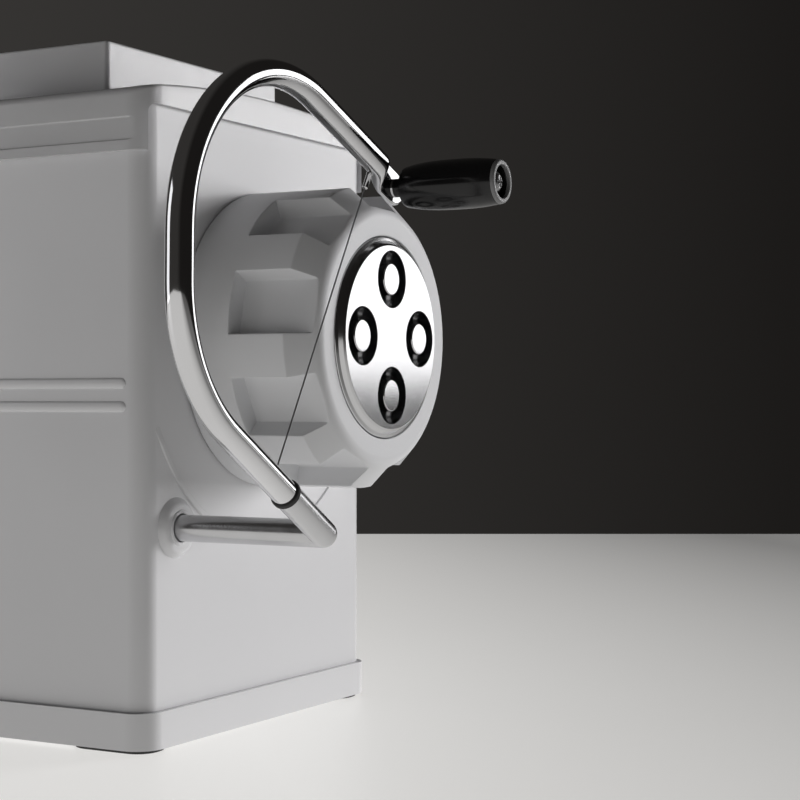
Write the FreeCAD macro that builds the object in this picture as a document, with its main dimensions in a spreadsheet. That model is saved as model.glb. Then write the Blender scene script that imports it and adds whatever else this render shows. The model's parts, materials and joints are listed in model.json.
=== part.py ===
import FreeCAD, Part
import math
import os
import re
import Sketcher

# Hand cranked pasta extruder, in millimetres. +Z is up, the die faces -Y, and the origin lies on the
# table plane in the middle of the four feet.

vector = FreeCAD.Vector
doc = FreeCAD.newDocument("pasta_extruder")
sheet = doc.addObject("Spreadsheet::Sheet", "Sizes")

sizes = {
    # housing, base and feet
    "body_width": 160, "body_depth": 180, "body_wall": 3, "body_corner": 8, "body_top": 238.6,
    "plinth_top": 15.2, "plinth_lip": 2.2, "plinth_floor": 3, "plinth_wall": 6, "tongue_height": 3,
    "foot_height": 1.5, "foot_width": 18, "foot_length": 36, "foot_inset": 0.3, "foot_corner": 8,
    "foot_seat": 1.2,
    "post_radius": 6, "post_inset": 12, "post_height": 28, "fit_gap": 0.2,
    "bead_height": 4, "bead_pitch": 8.6, "bead_level": 135.9, "bead_proud": 0.9, "bead_run_out": 8.5,
    "ring_bead_radius": 80, "ring_bead_width": 2.6, "ring_bead_proud": 0.7, "ring_bead_low": 46.2,
    # gear train between the crank shaft and the auger
    "axis_height": 154, "shaft_inset": 19.4524, "gear_module": 2, "gear_width": 12, "backlash": 0.16,
    "pinion_teeth": 12, "idler_teeth": 21, "wheel_teeth": 40, "gear_side_gap": 4,
    "plate_thickness": 4, "plate_start": 36, "plate_margin": 4, "plate_right": 50, "plate_corner": 8,
    "plate_foot": 20.1, "plate_high": 195, "pillar_radius": 4.5, "pillar_inset": 8, "pillar_shift": 31,
    "bolt_radius": 2, "bolt_head_radius": 3.8, "bolt_head_height": 2.6, "bolt_bite": 12,
    "running_gap": 0.05, "bush_wall": 3, "bush_flange": 1, "bush_rim": 1.5, "clip_width": 1.2,
    "clip_rim": 2.6,
    "idler_pin_radius": 5, "hub_radius": 10, "hub_proud": 1.5,
    # barrel, auger, die and ring nut
    "bore_radius": 27, "barrel_wall": 4, "barrel_flange": 5, "barrel_flange_radius": 56,
    "flange_bolt_circle": 50.5, "nose_radius": 45.9, "nose_length": 44.2, "flare_radius": 37,
    "flare_length": 14, "throat_width": 40, "throat_length": 64, "throat_centre": -12, "throat_top": 188.4,
    "throat_wall": 2.5, "auger_gap": 0.5, "auger_root": 9, "auger_pitch": 30, "flight_tip": 3,
    "flight_root": 6, "auger_front": 34, "journal_radius": 8, "washer_thickness": 2,
    "gasket_thickness": 1, "die_flange": 4.6, "die_flange_radius": 44.5, "die_boss_radius": 38.9,
    "die_lift": 2.6, "die_face_radius": 36, "die_hole_radius": 11.2, "die_hole_circle": 22.5,
    "core_radius": 6.2, "spider_thickness": 3.2, "spider_arm": 3, "spider_rim": 1.8,
    "nut_radius": 58.5, "nut_depth": 56.2, "nut_gap": 0.4, "nut_bore_gap": 0.1, "nut_lip": 6.2,
    "nut_opening": 39.3, "rib_start": 22, "facet_start": 46, "rim_radius": 49.5, "rim_start": 55.3,
    "front_radius": 47.5, "recess_count": 9, "recess_floor": 50, "recess_floor_width": 20.2,
    "recess_width": 24, "recess_turn": 8,
    # crank
    "shaft_radius": 5, "arm_radius": 4.8, "arm_gap": 0.6, "leg_angle": 148.5, "leg_run": 103,
    "side_angle": 89.2, "side_run": 132.7, "top_angle": -21.7, "top_run": 154.9, "low_bend": 56.4,
    "high_bend": 58.6, "elbow_leg": 28, "seal_width": 2.4, "seal_proud": 0.9, "spigot_radius": 3,
    "spigot_length": 16, "socket_start": 24, "socket_length": 34, "socket_radius": 9,
    "socket_hold": 12, "hex_flats": 8.4, "hex_length": 20, "hex_gap": 0.06, "drive_radius": 6,
    "boss_radius": 9.6, "boss_proud": 2.6, "boss_inner": 15, "boss_mouth": 6.9, "pin_radius": 1.5,
    "pad_thickness": 2.2, "pad_set": 0.2, "pad_radius": 6.6, "pad_run": 11, "pad_ramp": 13,
    "wire_radius": 0.3, "wire_back": 3.5, "wire_low_at": 34, "wire_high_at": 18, "ferrule_radius": 1.1,
    "low_ferrule_proud": 2.2, "high_ferrule_proud": 5.4,
    # grip
    "grip_length": 39.4, "grip_neck": 4.4, "grip_neck_radius": 3.6, "grip_start_radius": 7.1,
    "grip_end_radius": 8.1, "grip_swell": 104, "grip_screw_radius": 2.2, "grip_play": 0.08,
    "grip_pocket": 5.2, "grip_pocket_radius": 5.9, "grip_ring": 1.4, "grip_washer": 0.5,
    "screw_head_radius": 4.4, "screw_head_height": 3, "slot_width": 1, "slot_depth": 1.3,
    # hopper and lid
    "hopper_wall": 2.5, "hopper_edge": 6, "hopper_rim": 2.4, "hopper_gap": 0.4,
    "lid_wall": 1.8, "lid_gap": 0.4, "lid_side_low": 221.2, "lid_front_low": 238.5, "lid_edge_top": 244.6,
    "lid_crown": 5.8, "lid_step": 233.6, "lid_step_in": 0.7, "lid_band": 3.6, "lid_leg": 2,
    "chute_width": 120, "chute_length": 115, "chute_wall": 2.4, "chute_top": 267.5,
    "mouth_width": 92, "mouth_length": 88,
}
for row, (alias, amount) in enumerate(sizes.items(), start=1):
    sheet.set(f"A{row}", alias.replace("_", " "))
    sheet.set(f"B{row}", str(amount))
    sheet.setAlias(f"B{row}", alias)
doc.recompute()

# Places that several pieces share, as expressions on the sheet
front = "(-body_depth / 2)"
pinion_pitch = "(gear_module * pinion_teeth / 2)"
idler_pitch = "(gear_module * idler_teeth / 2)"
wheel_pitch = "(gear_module * wheel_teeth / 2)"
idler_reach = f"({wheel_pitch} + {idler_pitch})"
shaft_reach = f"({wheel_pitch} + 2 * {idler_pitch} + {pinion_pitch})"
drive_cos = f"((body_width / 2 - shaft_inset) / {shaft_reach})"
drive_sin = f"sqrt(1 - {drive_cos} * {drive_cos})"
idler_x = f"(-{idler_reach} * {drive_cos})"
idler_z = f"(axis_height - {idler_reach} * {drive_sin})"
shaft_x = "(shaft_inset - body_width / 2)"
shaft_z = f"(axis_height - {shaft_reach} * {drive_sin})"
plate_low = f"({shaft_z} - plate_foot)"
gear_start = "(plate_start + plate_thickness + gear_side_gap)"
back_plate = f"({gear_start} + gear_width + gear_side_gap)"
back_plate_end = f"({back_plate} + plate_thickness)"
die_front = "(nut_depth + die_lift)"
arm_plane = f"({die_front} + arm_gap + arm_radius)"
arm_y = f"({front} - {arm_plane})"
barrel_radius = "(bore_radius + barrel_wall)"
lid_half_x = "(body_width / 2 + lid_gap + lid_wall)"
lid_half_y = "(body_depth / 2 + lid_gap + lid_wall)"


def tie(text):
    return re.sub(r"\b(?!(?:sin|cos|tan|sqrt|min|max)\b)[a-z]\w*", r"Sizes.\g<0>", str(text))


def num(text):
    return float(sheet.evalExpression(tie(text)))


def bind(thing, settings):
    for name, text in settings.items():
        thing.setExpression(name, tie(text))
    return thing


def place(thing, x, y, z):
    return bind(thing, {"Placement.Base.x": x, "Placement.Base.y": y, "Placement.Base.z": z})


# Turns that lay a cylinder's axis along each direction
turns = {
    "+Z": FreeCAD.Rotation(),
    "+Y": FreeCAD.Rotation(vector(1, 0, 0), -90),
    "-Y": FreeCAD.Rotation(vector(1, 0, 0), 90),
    "+X": FreeCAD.Rotation(vector(0, 1, 0), 90),
}


def rod(name, radius, length, x, y, z, way="+Y"):
    thing = doc.addObject("Part::Cylinder", name)
    thing.Placement = FreeCAD.Placement(vector(), turns[way])
    bind(thing, {"Radius": radius, "Height": length})
    return place(thing, x, y, z)


def block(name, low, high):
    thing = doc.addObject("Part::Box", name)
    spans = [f"({b}) - ({a})" for a, b in zip(low, high)]
    bind(thing, dict(zip(("Length", "Width", "Height"), spans)))
    return place(thing, *low)


def fuse(name, pieces):
    thing = doc.addObject("Part::MultiFuse", name)
    thing.Shapes = pieces
    thing.Refine = True
    return thing


def cut(name, base, tools):
    thing = doc.addObject("Part::Cut", name)
    thing.Base = base
    thing.Tool = tools[0] if len(tools) == 1 else fuse(name + "_tools", tools)
    thing.Refine = True
    return thing


def common(name, pieces):
    thing = doc.addObject("Part::MultiCommon", name)
    thing.Shapes = pieces
    return thing


def group(name, pieces):
    thing = doc.addObject("Part::Compound", name)
    thing.Links = pieces
    return thing


def sketch_on(body, plane, name):
    sketch = body.newObject("Sketcher::SketchObject", name)
    support = [f for f in body.Origin.OriginFeatures if f.Role == plane][0]
    sketch.AttachmentSupport = [(support, "")]
    sketch.MapMode = "FlatFace"
    return sketch


# An outline is a start point and steps. A step of two values is a line to that point, and a step of
# four is an arc to that point with a radius and a turn, 1 to the left and -1 to the right.
def trace(sketch, start, steps, closed=True):
    ends = []
    here = vector(num(start[0]), num(start[1]), 0)
    for step in steps:
        there = vector(num(step[0]), num(step[1]), 0)
        if len(step) == 2:
            ends.append((sketch.addGeometry(Part.LineSegment(here, there), False), 1, 2))
        else:
            radius, turn = num(step[2]), step[3]
            chord = there - here
            left = vector(-chord.y, chord.x, 0).normalize()
            rise = math.sqrt(max(radius ** 2 - (chord.Length / 2) ** 2, 0))
            centre = (here + there) / 2 + left * (rise * turn)
            first, last = (here, there) if turn > 0 else (there, here)
            angles = [math.atan2(p.y - centre.y, p.x - centre.x) for p in (first, last)]
            if angles[1] < angles[0]:
                angles[1] += 2 * math.pi
            arc = Part.ArcOfCircle(Part.Circle(centre, vector(0, 0, 1), radius), *angles)
            index = sketch.addGeometry(arc, False)
            ends.append((index, 1, 2) if turn > 0 else (index, 2, 1))
        here = there

    def hold(kind, index, point, text):
        number = sketch.addConstraint(Sketcher.Constraint(kind, -1, 1, index, point, num(text)))
        sketch.setExpression(f"Constraints[{number}]", tie(text))

    index, begin, _ = ends[0]
    hold("DistanceX", index, begin, start[0])
    hold("DistanceY", index, begin, start[1])
    for i, ((index, begin, end), step) in enumerate(zip(ends, steps)):
        if i:
            before, _, joint = ends[i - 1]
            sketch.addConstraint(Sketcher.Constraint("Coincident", before, joint, index, begin))
        if closed and i == len(steps) - 1:
            sketch.addConstraint(Sketcher.Constraint("Coincident", index, end, ends[0][0], ends[0][1]))
        else:
            hold("DistanceX", index, end, step[0])
            hold("DistanceY", index, end, step[1])
        if len(step) == 4:
            number = sketch.addConstraint(Sketcher.Constraint("Radius", index, num(step[2])))
            sketch.setExpression(f"Constraints[{number}]", tie(step[2]))
    return sketch


def new_body(name):
    return doc.addObject("PartDesign::Body", name)


# A body padded from an outline on its XY plane
def slab(name, outline, height, z, x="0", y="0"):
    body = new_body(name)
    sketch = trace(sketch_on(body, "XY_Plane", name + "_outline"), *outline)
    pad = body.newObject("PartDesign::Pad", name + "_pad")
    pad.Profile = sketch
    bind(pad, {"Length": height})
    return place(body, x, y, z)


# A body turned about its Y axis, from an outline of radius and distance along the axis
def turned(name, outline, x, y, z):
    body = new_body(name)
    sketch = trace(sketch_on(body, "XY_Plane", name + "_section"), *outline)
    turning = body.newObject("PartDesign::Revolution", name + "_turning")
    turning.Profile = sketch
    turning.ReferenceAxis = (sketch, ["V_Axis"])
    turning.Angle = 360
    return place(body, x, y, z)


def rounded(half_x, half_y, radius):
    right, top = f"({half_x})", f"({half_y})"
    start = (f"-{right} + {radius}", f"-{top}")
    steps = [
        (f"{right} - {radius}", f"-{top}"), (right, f"-{top} + {radius}", radius, 1),
        (right, f"{top} - {radius}"), (f"{right} - {radius}", top, radius, 1),
        (f"-{right} + {radius}", top), (f"-{right}", f"{top} - {radius}", radius, 1),
        (f"-{right}", f"-{top} + {radius}"), (f"-{right} + {radius}", f"-{top}", radius, 1),
    ]
    return start, steps


def oblong(half_x, half_y):
    start = (f"-({half_x})", f"-({half_y})")
    return start, [(half_x, f"-({half_y})"), (half_x, half_y), (f"-({half_x})", half_y), start]


corners = [(sx, sy) for sx in (-1, 1) for sy in (-1, 1)]
made = []


# Names a finished sub-part
def keep(thing, label):
    thing.Label = label
    made.append(thing)
    return thing


# Housing: a moulded shell, open at the top and bottom, with its bosses and beads
post_x, post_y = ("(body_width / 2 - post_inset)", "(body_depth / 2 - post_inset)")
pillar_spots = [
    ("(-body_width / 2 + body_wall + plate_margin + pillar_inset)", "(plate_high - pillar_inset)"),
    ("(plate_right - pillar_inset)", "(plate_high - pillar_inset)"),
    ("(plate_right - pillar_inset)", f"({plate_low} + pillar_inset)"),
    (f"({shaft_x} + pillar_shift)", f"({plate_low} + pillar_inset)"),
]


def make_housing():
    inner_x, inner_y = ("body_width / 2 - body_wall", "body_depth / 2 - body_wall")
    outer = slab("housing_outer", rounded("body_width / 2", "body_depth / 2", "body_corner"),
                 "body_top - plinth_top", "plinth_top")
    inner = slab("housing_inner", rounded(inner_x, inner_y, "(body_corner - body_wall)"),
                 "body_top - plinth_top", "plinth_top")
    shell = cut("housing_shell", outer, [inner])
    solid = [shell]
    for i, (sx, sy) in enumerate(corners):
        solid.append(rod(f"housing_post_{i}", "post_radius", "post_height",
                         f"{sx} * {post_x}", f"{sy} * {post_y}", "plinth_top", "+Z"))
        solid.append(block(f"housing_rib_{i}",
                           (f"{sx} * {post_x} - body_wall / 2",
                            f"{sy} * {post_y} + ({sy} - 1) / 2 * post_inset", "plinth_top"),
                           (f"{sx} * {post_x} + body_wall / 2",
                            f"{sy} * {post_y} + ({sy} + 1) / 2 * post_inset", "plinth_top + post_height")))
    for i, (x, z) in enumerate(pillar_spots):
        solid.append(rod(f"housing_boss_{i}", "pillar_radius",
                         f"body_depth / 2 - body_wall / 2 - {back_plate_end}", x, back_plate_end, z))
    solid.append(rod("housing_crank_boss", "boss_radius", "boss_proud + body_wall + boss_inner",
                     shaft_x, f"{front} - boss_proud", shaft_z))
    band = rod("housing_band_outer", "ring_bead_radius + ring_bead_width / 2",
               "ring_bead_proud + body_wall / 2", "0", f"{front} - ring_bead_proud", "axis_height")
    band_hole = rod("housing_band_inner", "ring_bead_radius - ring_bead_width / 2",
                    "ring_bead_proud + body_wall / 2", "0", f"{front} - ring_bead_proud", "axis_height")
    window = block("housing_band_window",
                   ("-body_width / 2 + body_corner", f"{front} - ring_bead_proud",
                    "axis_height - 2 * body_width"),
                   ("body_width / 2 - body_corner", front, "axis_height - ring_bead_radius + ring_bead_low"))
    solid.append(common("housing_band", [cut("housing_band_ring", band, [band_hole]), window]))
    for level in (0, 1):
        for side in (-1, 1):
            z = f"bead_level - {level} * bead_pitch"
            x = f"{side} * (body_width / 2 - bead_height / 2 + bead_proud)"
            run = "body_depth / 2 - bead_run_out"
            bead = block(f"housing_bead_{level}_{side}",
                         (f"{x} - bead_height / 2", f"-({run})", f"{z} - bead_height / 2"),
                         (f"{x} + bead_height / 2", run, f"{z} + bead_height / 2"))
            solid.append(bead)
    whole = fuse("housing_solid", solid)
    holes = [
        rod("housing_nose_hole", "nose_radius + fit_gap", "2 * body_wall", "0", f"{front} - body_wall / 2",
            "axis_height"),
        rod("housing_shaft_mouth", "boss_mouth", "boss_proud + body_wall + boss_inner", shaft_x,
            f"{front} - boss_proud - fit_gap", shaft_z),
        rod("housing_bush_seat", "shaft_radius + running_gap + bush_wall", "boss_inner", shaft_x,
            f"{front} + body_wall", shaft_z),
    ]
    for i, (sx, sy) in enumerate(corners):
        holes.append(rod(f"housing_post_hole_{i}", "bolt_radius", "post_height - body_wall",
                         f"{sx} * {post_x}", f"{sy} * {post_y}", "plinth_top", "+Z"))
    for i, (x, z) in enumerate(pillar_spots):
        holes.append(rod(f"housing_boss_hole_{i}", "bolt_radius", "bolt_bite", x, back_plate_end, z))
    for i, (x, z) in enumerate(flange_spots()):
        holes.append(rod(f"housing_flange_hole_{i}", "bolt_radius", "body_wall", x, front, z))
    return keep(cut("housing_cut", whole, holes), "housing")


def flange_spots():
    spots = []
    for angle in (45, 135, 225, 315):
        spots.append((f"(flange_bolt_circle * cos({angle}))",
                      f"(axis_height + flange_bolt_circle * sin({angle}))"))
    return spots


screw_seat = "(foot_height + foot_seat)"


def make_base():
    outer = slab("base_outer", rounded("body_width / 2 + plinth_lip", "body_depth / 2 + plinth_lip",
                                       "(body_corner + plinth_lip)"), "plinth_top - foot_height", "foot_height")
    tongue = slab("base_tongue", rounded("body_width / 2 - body_wall - fit_gap",
                                         "body_depth / 2 - body_wall - fit_gap",
                                         "(body_corner - body_wall)"), "tongue_height", "plinth_top")
    hollow = slab("base_hollow", rounded("body_width / 2 - plinth_wall", "body_depth / 2 - plinth_wall",
                                         "(body_corner - body_wall)"),
                  "plinth_top + tongue_height", "foot_height + plinth_floor")
    tray = cut("base_tray", fuse("base_solid", [outer, tongue]), [hollow])
    posts = [rod(f"base_post_{i}", "post_radius", "plinth_top - foot_height - fit_gap",
                 f"{sx} * {post_x}", f"{sy} * {post_y}", "foot_height", "+Z")
             for i, (sx, sy) in enumerate(corners)]
    holes = []
    for i, (sx, sy) in enumerate(corners):
        x, y = (f"{sx} * {post_x}", f"{sy} * {post_y}")
        holes.append(rod(f"base_bore_{i}", "bolt_radius + fit_gap", "plinth_top", x, y, "0", "+Z"))
        holes.append(rod(f"base_sink_{i}", "bolt_head_radius + fit_gap", f"{screw_seat} + bolt_head_height",
                         x, y, "0", "+Z"))
        holes.append(block(f"base_notch_{i}",
                           (f"{x} - post_radius - fit_gap", f"{y} - post_inset", "plinth_top"),
                           (f"{x} + post_radius + fit_gap", f"{y} + post_inset",
                            "plinth_top + 2 * tongue_height")))
        holes.append(block(f"base_side_notch_{i}",
                           (f"{x} - post_inset", f"{y} - post_radius - fit_gap", "plinth_top"),
                           (f"{x} + post_inset", f"{y} + post_radius + fit_gap",
                            "plinth_top + 2 * tongue_height")))
    pads, seats = [], []
    for i, (sx, sy) in enumerate(corners):
        for name, grow, found in (("foot", "0", pads), ("foot_seat", "fit_gap", seats)):
            outline = rounded(f"foot_width / 2 + {grow}", f"foot_length / 2 + {grow}", "foot_corner")
            found.append(slab(f"{name}_{i}", outline, "foot_height + foot_seat", "0",
                              f"{sx} * (body_width / 2 - foot_inset - foot_width / 2)",
                              f"{sy} * (body_depth / 2 - foot_inset - foot_length / 2)"))
    keep(cut("base_cut", fuse("base_all", [tray] + posts), holes + seats), "base")
    keep(group("feet_group", pads), "feet")
    screws = []
    for i, (sx, sy) in enumerate(corners):
        x, y = (f"{sx} * {post_x}", f"{sy} * {post_y}")
        head = rod(f"base_screw_head_{i}", "bolt_head_radius", "bolt_head_height", x, y, screw_seat, "+Z")
        shank = rod(f"base_screw_shank_{i}", "bolt_radius", f"plinth_top + bolt_bite - {screw_seat}", x, y,
                    screw_seat, "+Z")
        screws.append(fuse(f"base_screw_{i}", [head, shank]))
    keep(group("base_screw_group", screws), "base_screws")


# Barrel: the pressing chamber, its threaded nose outside the housing and its feed throat on top
def make_barrel():
    nose_end = "(-nose_length)"
    bore_end = "(-nose_length + flare_length)"
    back = f"(plate_start - {front})"
    section = ("bore_radius", back), [
        ("bore_radius", bore_end), ("flare_radius", nose_end), ("nose_radius", nose_end),
        ("nose_radius", "body_wall"), ("barrel_flange_radius", "body_wall"),
        ("barrel_flange_radius", "body_wall + barrel_flange"), (barrel_radius, "body_wall + barrel_flange"),
        (barrel_radius, back), ("bore_radius", back),
    ]
    tube = turned("barrel_tube", section, "0", front, "axis_height")
    half_w, half_l = ("throat_width / 2 + throat_wall", "throat_length / 2 + throat_wall")
    throat = block("barrel_throat", (f"-({half_w})", f"throat_centre - ({half_l})", "axis_height"),
                   (half_w, f"throat_centre + {half_l}", "throat_top"))
    chamber = rod("barrel_chamber", "bore_radius", f"{back} + nose_length - flare_length", "0",
                  f"{front} - nose_length + flare_length", "axis_height")
    feed = block("barrel_feed", ("-throat_width / 2", "throat_centre - throat_length / 2", "axis_height"),
                 ("throat_width / 2", "throat_centre + throat_length / 2", "throat_top + throat_wall"))
    bolts = [rod(f"barrel_bolt_hole_{i}", "bolt_radius + fit_gap", "barrel_flange + body_wall", x, front, z)
             for i, (x, z) in enumerate(flange_spots())]
    keep(cut("barrel_cut", fuse("barrel_solid", [tube, throat]), [chamber, feed] + bolts), "barrel")
    screws = []
    for i, (x, z) in enumerate(flange_spots()):
        head = rod(f"barrel_screw_head_{i}", "bolt_head_radius", "bolt_head_height", x,
                   f"{front} + body_wall + barrel_flange", z)
        shank = rod(f"barrel_screw_shank_{i}", "bolt_radius", "barrel_flange + body_wall - fit_gap", x,
                    f"{front} + fit_gap", z)
        screws.append(fuse(f"barrel_screw_{i}", [head, shank]))
    keep(group("barrel_screw_group", screws), "barrel_screws")


# Gear plates, pillars and bolts
def plate(label, y, bores):
    low_x = "-body_width / 2 + body_wall + plate_margin"
    half_x, half_z = (f"(plate_right - ({low_x})) / 2", f"(plate_high - {plate_low}) / 2")
    body = new_body(label + "_blank")
    sketch = trace(sketch_on(body, "XZ_Plane", label + "_outline"), *rounded(half_x, half_z, "plate_corner"))
    pad = body.newObject("PartDesign::Pad", label + "_pad")
    pad.Profile = sketch
    bind(pad, {"Length": "plate_thickness"})
    place(body, f"(plate_right + ({low_x})) / 2", f"{y} + plate_thickness", f"(plate_high + {plate_low}) / 2")
    holes = [rod(f"{label}_bore_{i}", radius, "plate_thickness", x, y, z)
             for i, (radius, x, z) in enumerate(bores)]
    holes += [rod(f"{label}_bolt_{i}", "bolt_radius + fit_gap", "plate_thickness", x, y, z)
              for i, (x, z) in enumerate(pillar_spots)]
    return keep(cut(label + "_cut", body, holes), label)


journal_bush = "(journal_radius + running_gap + bush_wall)"
drive_bush = "(drive_radius + running_gap + bush_wall)"


def make_gear_case():
    bores = [(journal_bush, "0", "axis_height"), ("idler_pin_radius", idler_x, idler_z),
             (drive_bush, shaft_x, shaft_z)]
    plate("gear_plate_front", "plate_start", bores)
    plate("gear_plate_rear", back_plate, bores)
    pillars, bolts = [], []
    between = f"{back_plate} - plate_start - plate_thickness"
    bolt_run = f"{back_plate_end} + bolt_bite - fit_gap - plate_start"
    for i, (x, z) in enumerate(pillar_spots):
        sleeve = rod(f"pillar_{i}", "pillar_radius", between, x, "plate_start + plate_thickness", z)
        bore = rod(f"pillar_bore_{i}", "bolt_radius + fit_gap", between, x, "plate_start + plate_thickness", z)
        pillars.append(cut(f"pillar_tube_{i}", sleeve, [bore]))
        head = rod(f"case_bolt_head_{i}", "bolt_head_radius", "bolt_head_height", x, "plate_start", z, "-Y")
        shank = rod(f"case_bolt_shank_{i}", "bolt_radius", bolt_run, x, "plate_start", z)
        bolts.append(fuse(f"case_bolt_{i}", [head, shank]))
    keep(group("pillar_group", pillars), "gear_plate_pillars")
    keep(group("case_bolt_group", bolts), "gear_plate_bolts")
    bushes = []
    for name, x, z, bore in (("auger", "0", "axis_height", "journal_radius"),
                             ("drive", shaft_x, shaft_z, "drive_radius")):
        for side, y, rim in (("front", "plate_start", "plate_start + plate_thickness"),
                             ("rear", back_plate, f"{back_plate} - bush_flange")):
            outer = f"{bore} + running_gap + bush_wall"
            collar = rod(f"{name}_{side}_collar", outer, "plate_thickness", x, y, z)
            flange = rod(f"{name}_{side}_rim", f"{outer} + bush_rim", "bush_flange", x, rim, z)
            hole = rod(f"{name}_{side}_bore", f"{bore} + running_gap", "plate_thickness + 2 * bush_flange",
                       x, f"{y} - bush_flange", z)
            bushes.append(cut(f"{name}_{side}_bush", fuse(f"{name}_{side}_blank", [collar, flange]), [hole]))
    keep(group("auger_bush_pair", bushes[:2]), "auger_bushes")
    keep(group("drive_bush_pair", bushes[2:]), "drive_shaft_bushes")
    crank_bush = rod("crank_bush_body", "shaft_radius + running_gap + bush_wall", "boss_inner", shaft_x,
                     f"{front} + body_wall", shaft_z)
    crank_bore = rod("crank_bush_bore", "shaft_radius + running_gap", "boss_inner", shaft_x,
                     f"{front} + body_wall", shaft_z)
    keep(cut("crank_bush_cut", crank_bush, [crank_bore]), "crank_bush")
    pin = rod("idler_pin_body", "idler_pin_radius", f"{back_plate_end} - plate_start + 2 * clip_width",
              idler_x, "plate_start", idler_z)
    pin_head = rod("idler_pin_head", "idler_pin_radius + clip_rim", "clip_width",
                   idler_x, "plate_start", idler_z, "-Y")
    keep(fuse("idler_pin_solid", [pin, pin_head]), "idler_pin")
    clip("idler_clip", "idler_pin_radius", idler_x, idler_z)


def clip(label, radius, x, z):
    ring = rod(label + "_ring", f"{radius} + clip_rim", "clip_width", x, back_plate_end, z)
    hole = rod(label + "_hole", radius, "clip_width", x, back_plate_end, z)
    return keep(cut(label + "_cut", ring, [hole]), label)


# Involute teeth of 25 degrees, thinned by the backlash, as a face in the XZ plane
pressure = math.radians(25)
addendum, dedendum = 1.0, 1.2
flank_points = 5


def involute(angle):
    return math.tan(angle) - angle


def polar(radius, angle):
    return vector(radius * math.cos(angle), 0, radius * math.sin(angle))


def gear_blank(teeth, tooth_at):
    module = num("gear_module")
    pitch = module * teeth / 2
    base = pitch * math.cos(pressure)
    tip, root = pitch + addendum * module, pitch - dedendum * module
    half = math.pi / (2 * teeth) - num("backlash") / (2 * pitch) + involute(pressure)
    flank_start = max(base, root)

    def spread(radius):
        return half - involute(math.acos(min(base / radius, 1)))

    radii = [flank_start + (tip - flank_start) * i / (flank_points - 1) for i in range(flank_points)]
    edges = []
    step = 2 * math.pi / teeth
    for i in range(teeth):
        middle = tooth_at + i * step
        low = spread(flank_start)
        rise = Part.BSplineCurve()
        rise.interpolate([polar(r, middle - spread(r)) for r in radii])
        fall = Part.BSplineCurve()
        fall.interpolate([polar(r, middle + spread(r)) for r in reversed(radii)])
        if root < base:
            edges.append(Part.makeLine(polar(root, middle - low), polar(base, middle - low)))
        edges.append(rise.toShape())
        edges.append(Part.Arc(polar(tip, middle - spread(tip)), polar(tip, middle),
                              polar(tip, middle + spread(tip))).toShape())
        edges.append(fall.toShape())
        if root < base:
            edges.append(Part.makeLine(polar(base, middle + low), polar(root, middle + low)))
        edges.append(Part.Arc(polar(root, middle + low), polar(root, middle + step / 2),
                              polar(root, middle + step - low)).toShape())
    return Part.Face(Part.Wire(edges))


def make_gear(label, teeth, bore, x, z, tooth_at):
    width, side = num("gear_width"), num("hub_proud")
    wheel = gear_blank(int(num(teeth)), tooth_at).extrude(vector(0, width, 0))
    hub = Part.makeCylinder(num(f"min(hub_radius; {bore} + bush_wall + hub_proud)"), width + 2 * side,
                            vector(0, -side, 0), vector(0, 1, 0))
    hole = Part.makeCylinder(num(bore), width + 4 * side, vector(0, -2 * side, 0), vector(0, 1, 0))
    gear = doc.addObject("Part::Feature", label)
    gear.Shape = wheel.fuse(hub).cut(hole).removeSplitter()
    gear.Placement = FreeCAD.Placement(vector(num(x), num(gear_start), num(z)), FreeCAD.Rotation())
    return keep(gear, label)


# The wheel has a tooth on the line of centres, the idler a gap and then a tooth, the pinion a gap
def make_gears():
    line = math.pi + math.atan2(num(drive_sin), num(drive_cos))
    make_gear("auger_gear", "wheel_teeth", "journal_radius", "0", "axis_height", line)
    make_gear("idler_gear", "idler_teeth", "idler_pin_radius + running_gap + bush_wall / 2",
              idler_x, idler_z, line)
    make_gear("drive_pinion", "pinion_teeth", "drive_radius", shaft_x, shaft_z,
              line + math.pi + math.pi / int(num("pinion_teeth")))
    run = (f"{back_plate} - plate_start - plate_thickness - 2 * fit_gap", idler_x,
           "plate_start + plate_thickness + fit_gap", idler_z)
    sleeve = rod("idler_bush_body", "idler_pin_radius + running_gap + bush_wall / 2", *run)
    bore = rod("idler_bush_bore", "idler_pin_radius + running_gap", *run)
    keep(cut("idler_bush_cut", sleeve, [bore]), "idler_bush")


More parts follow.
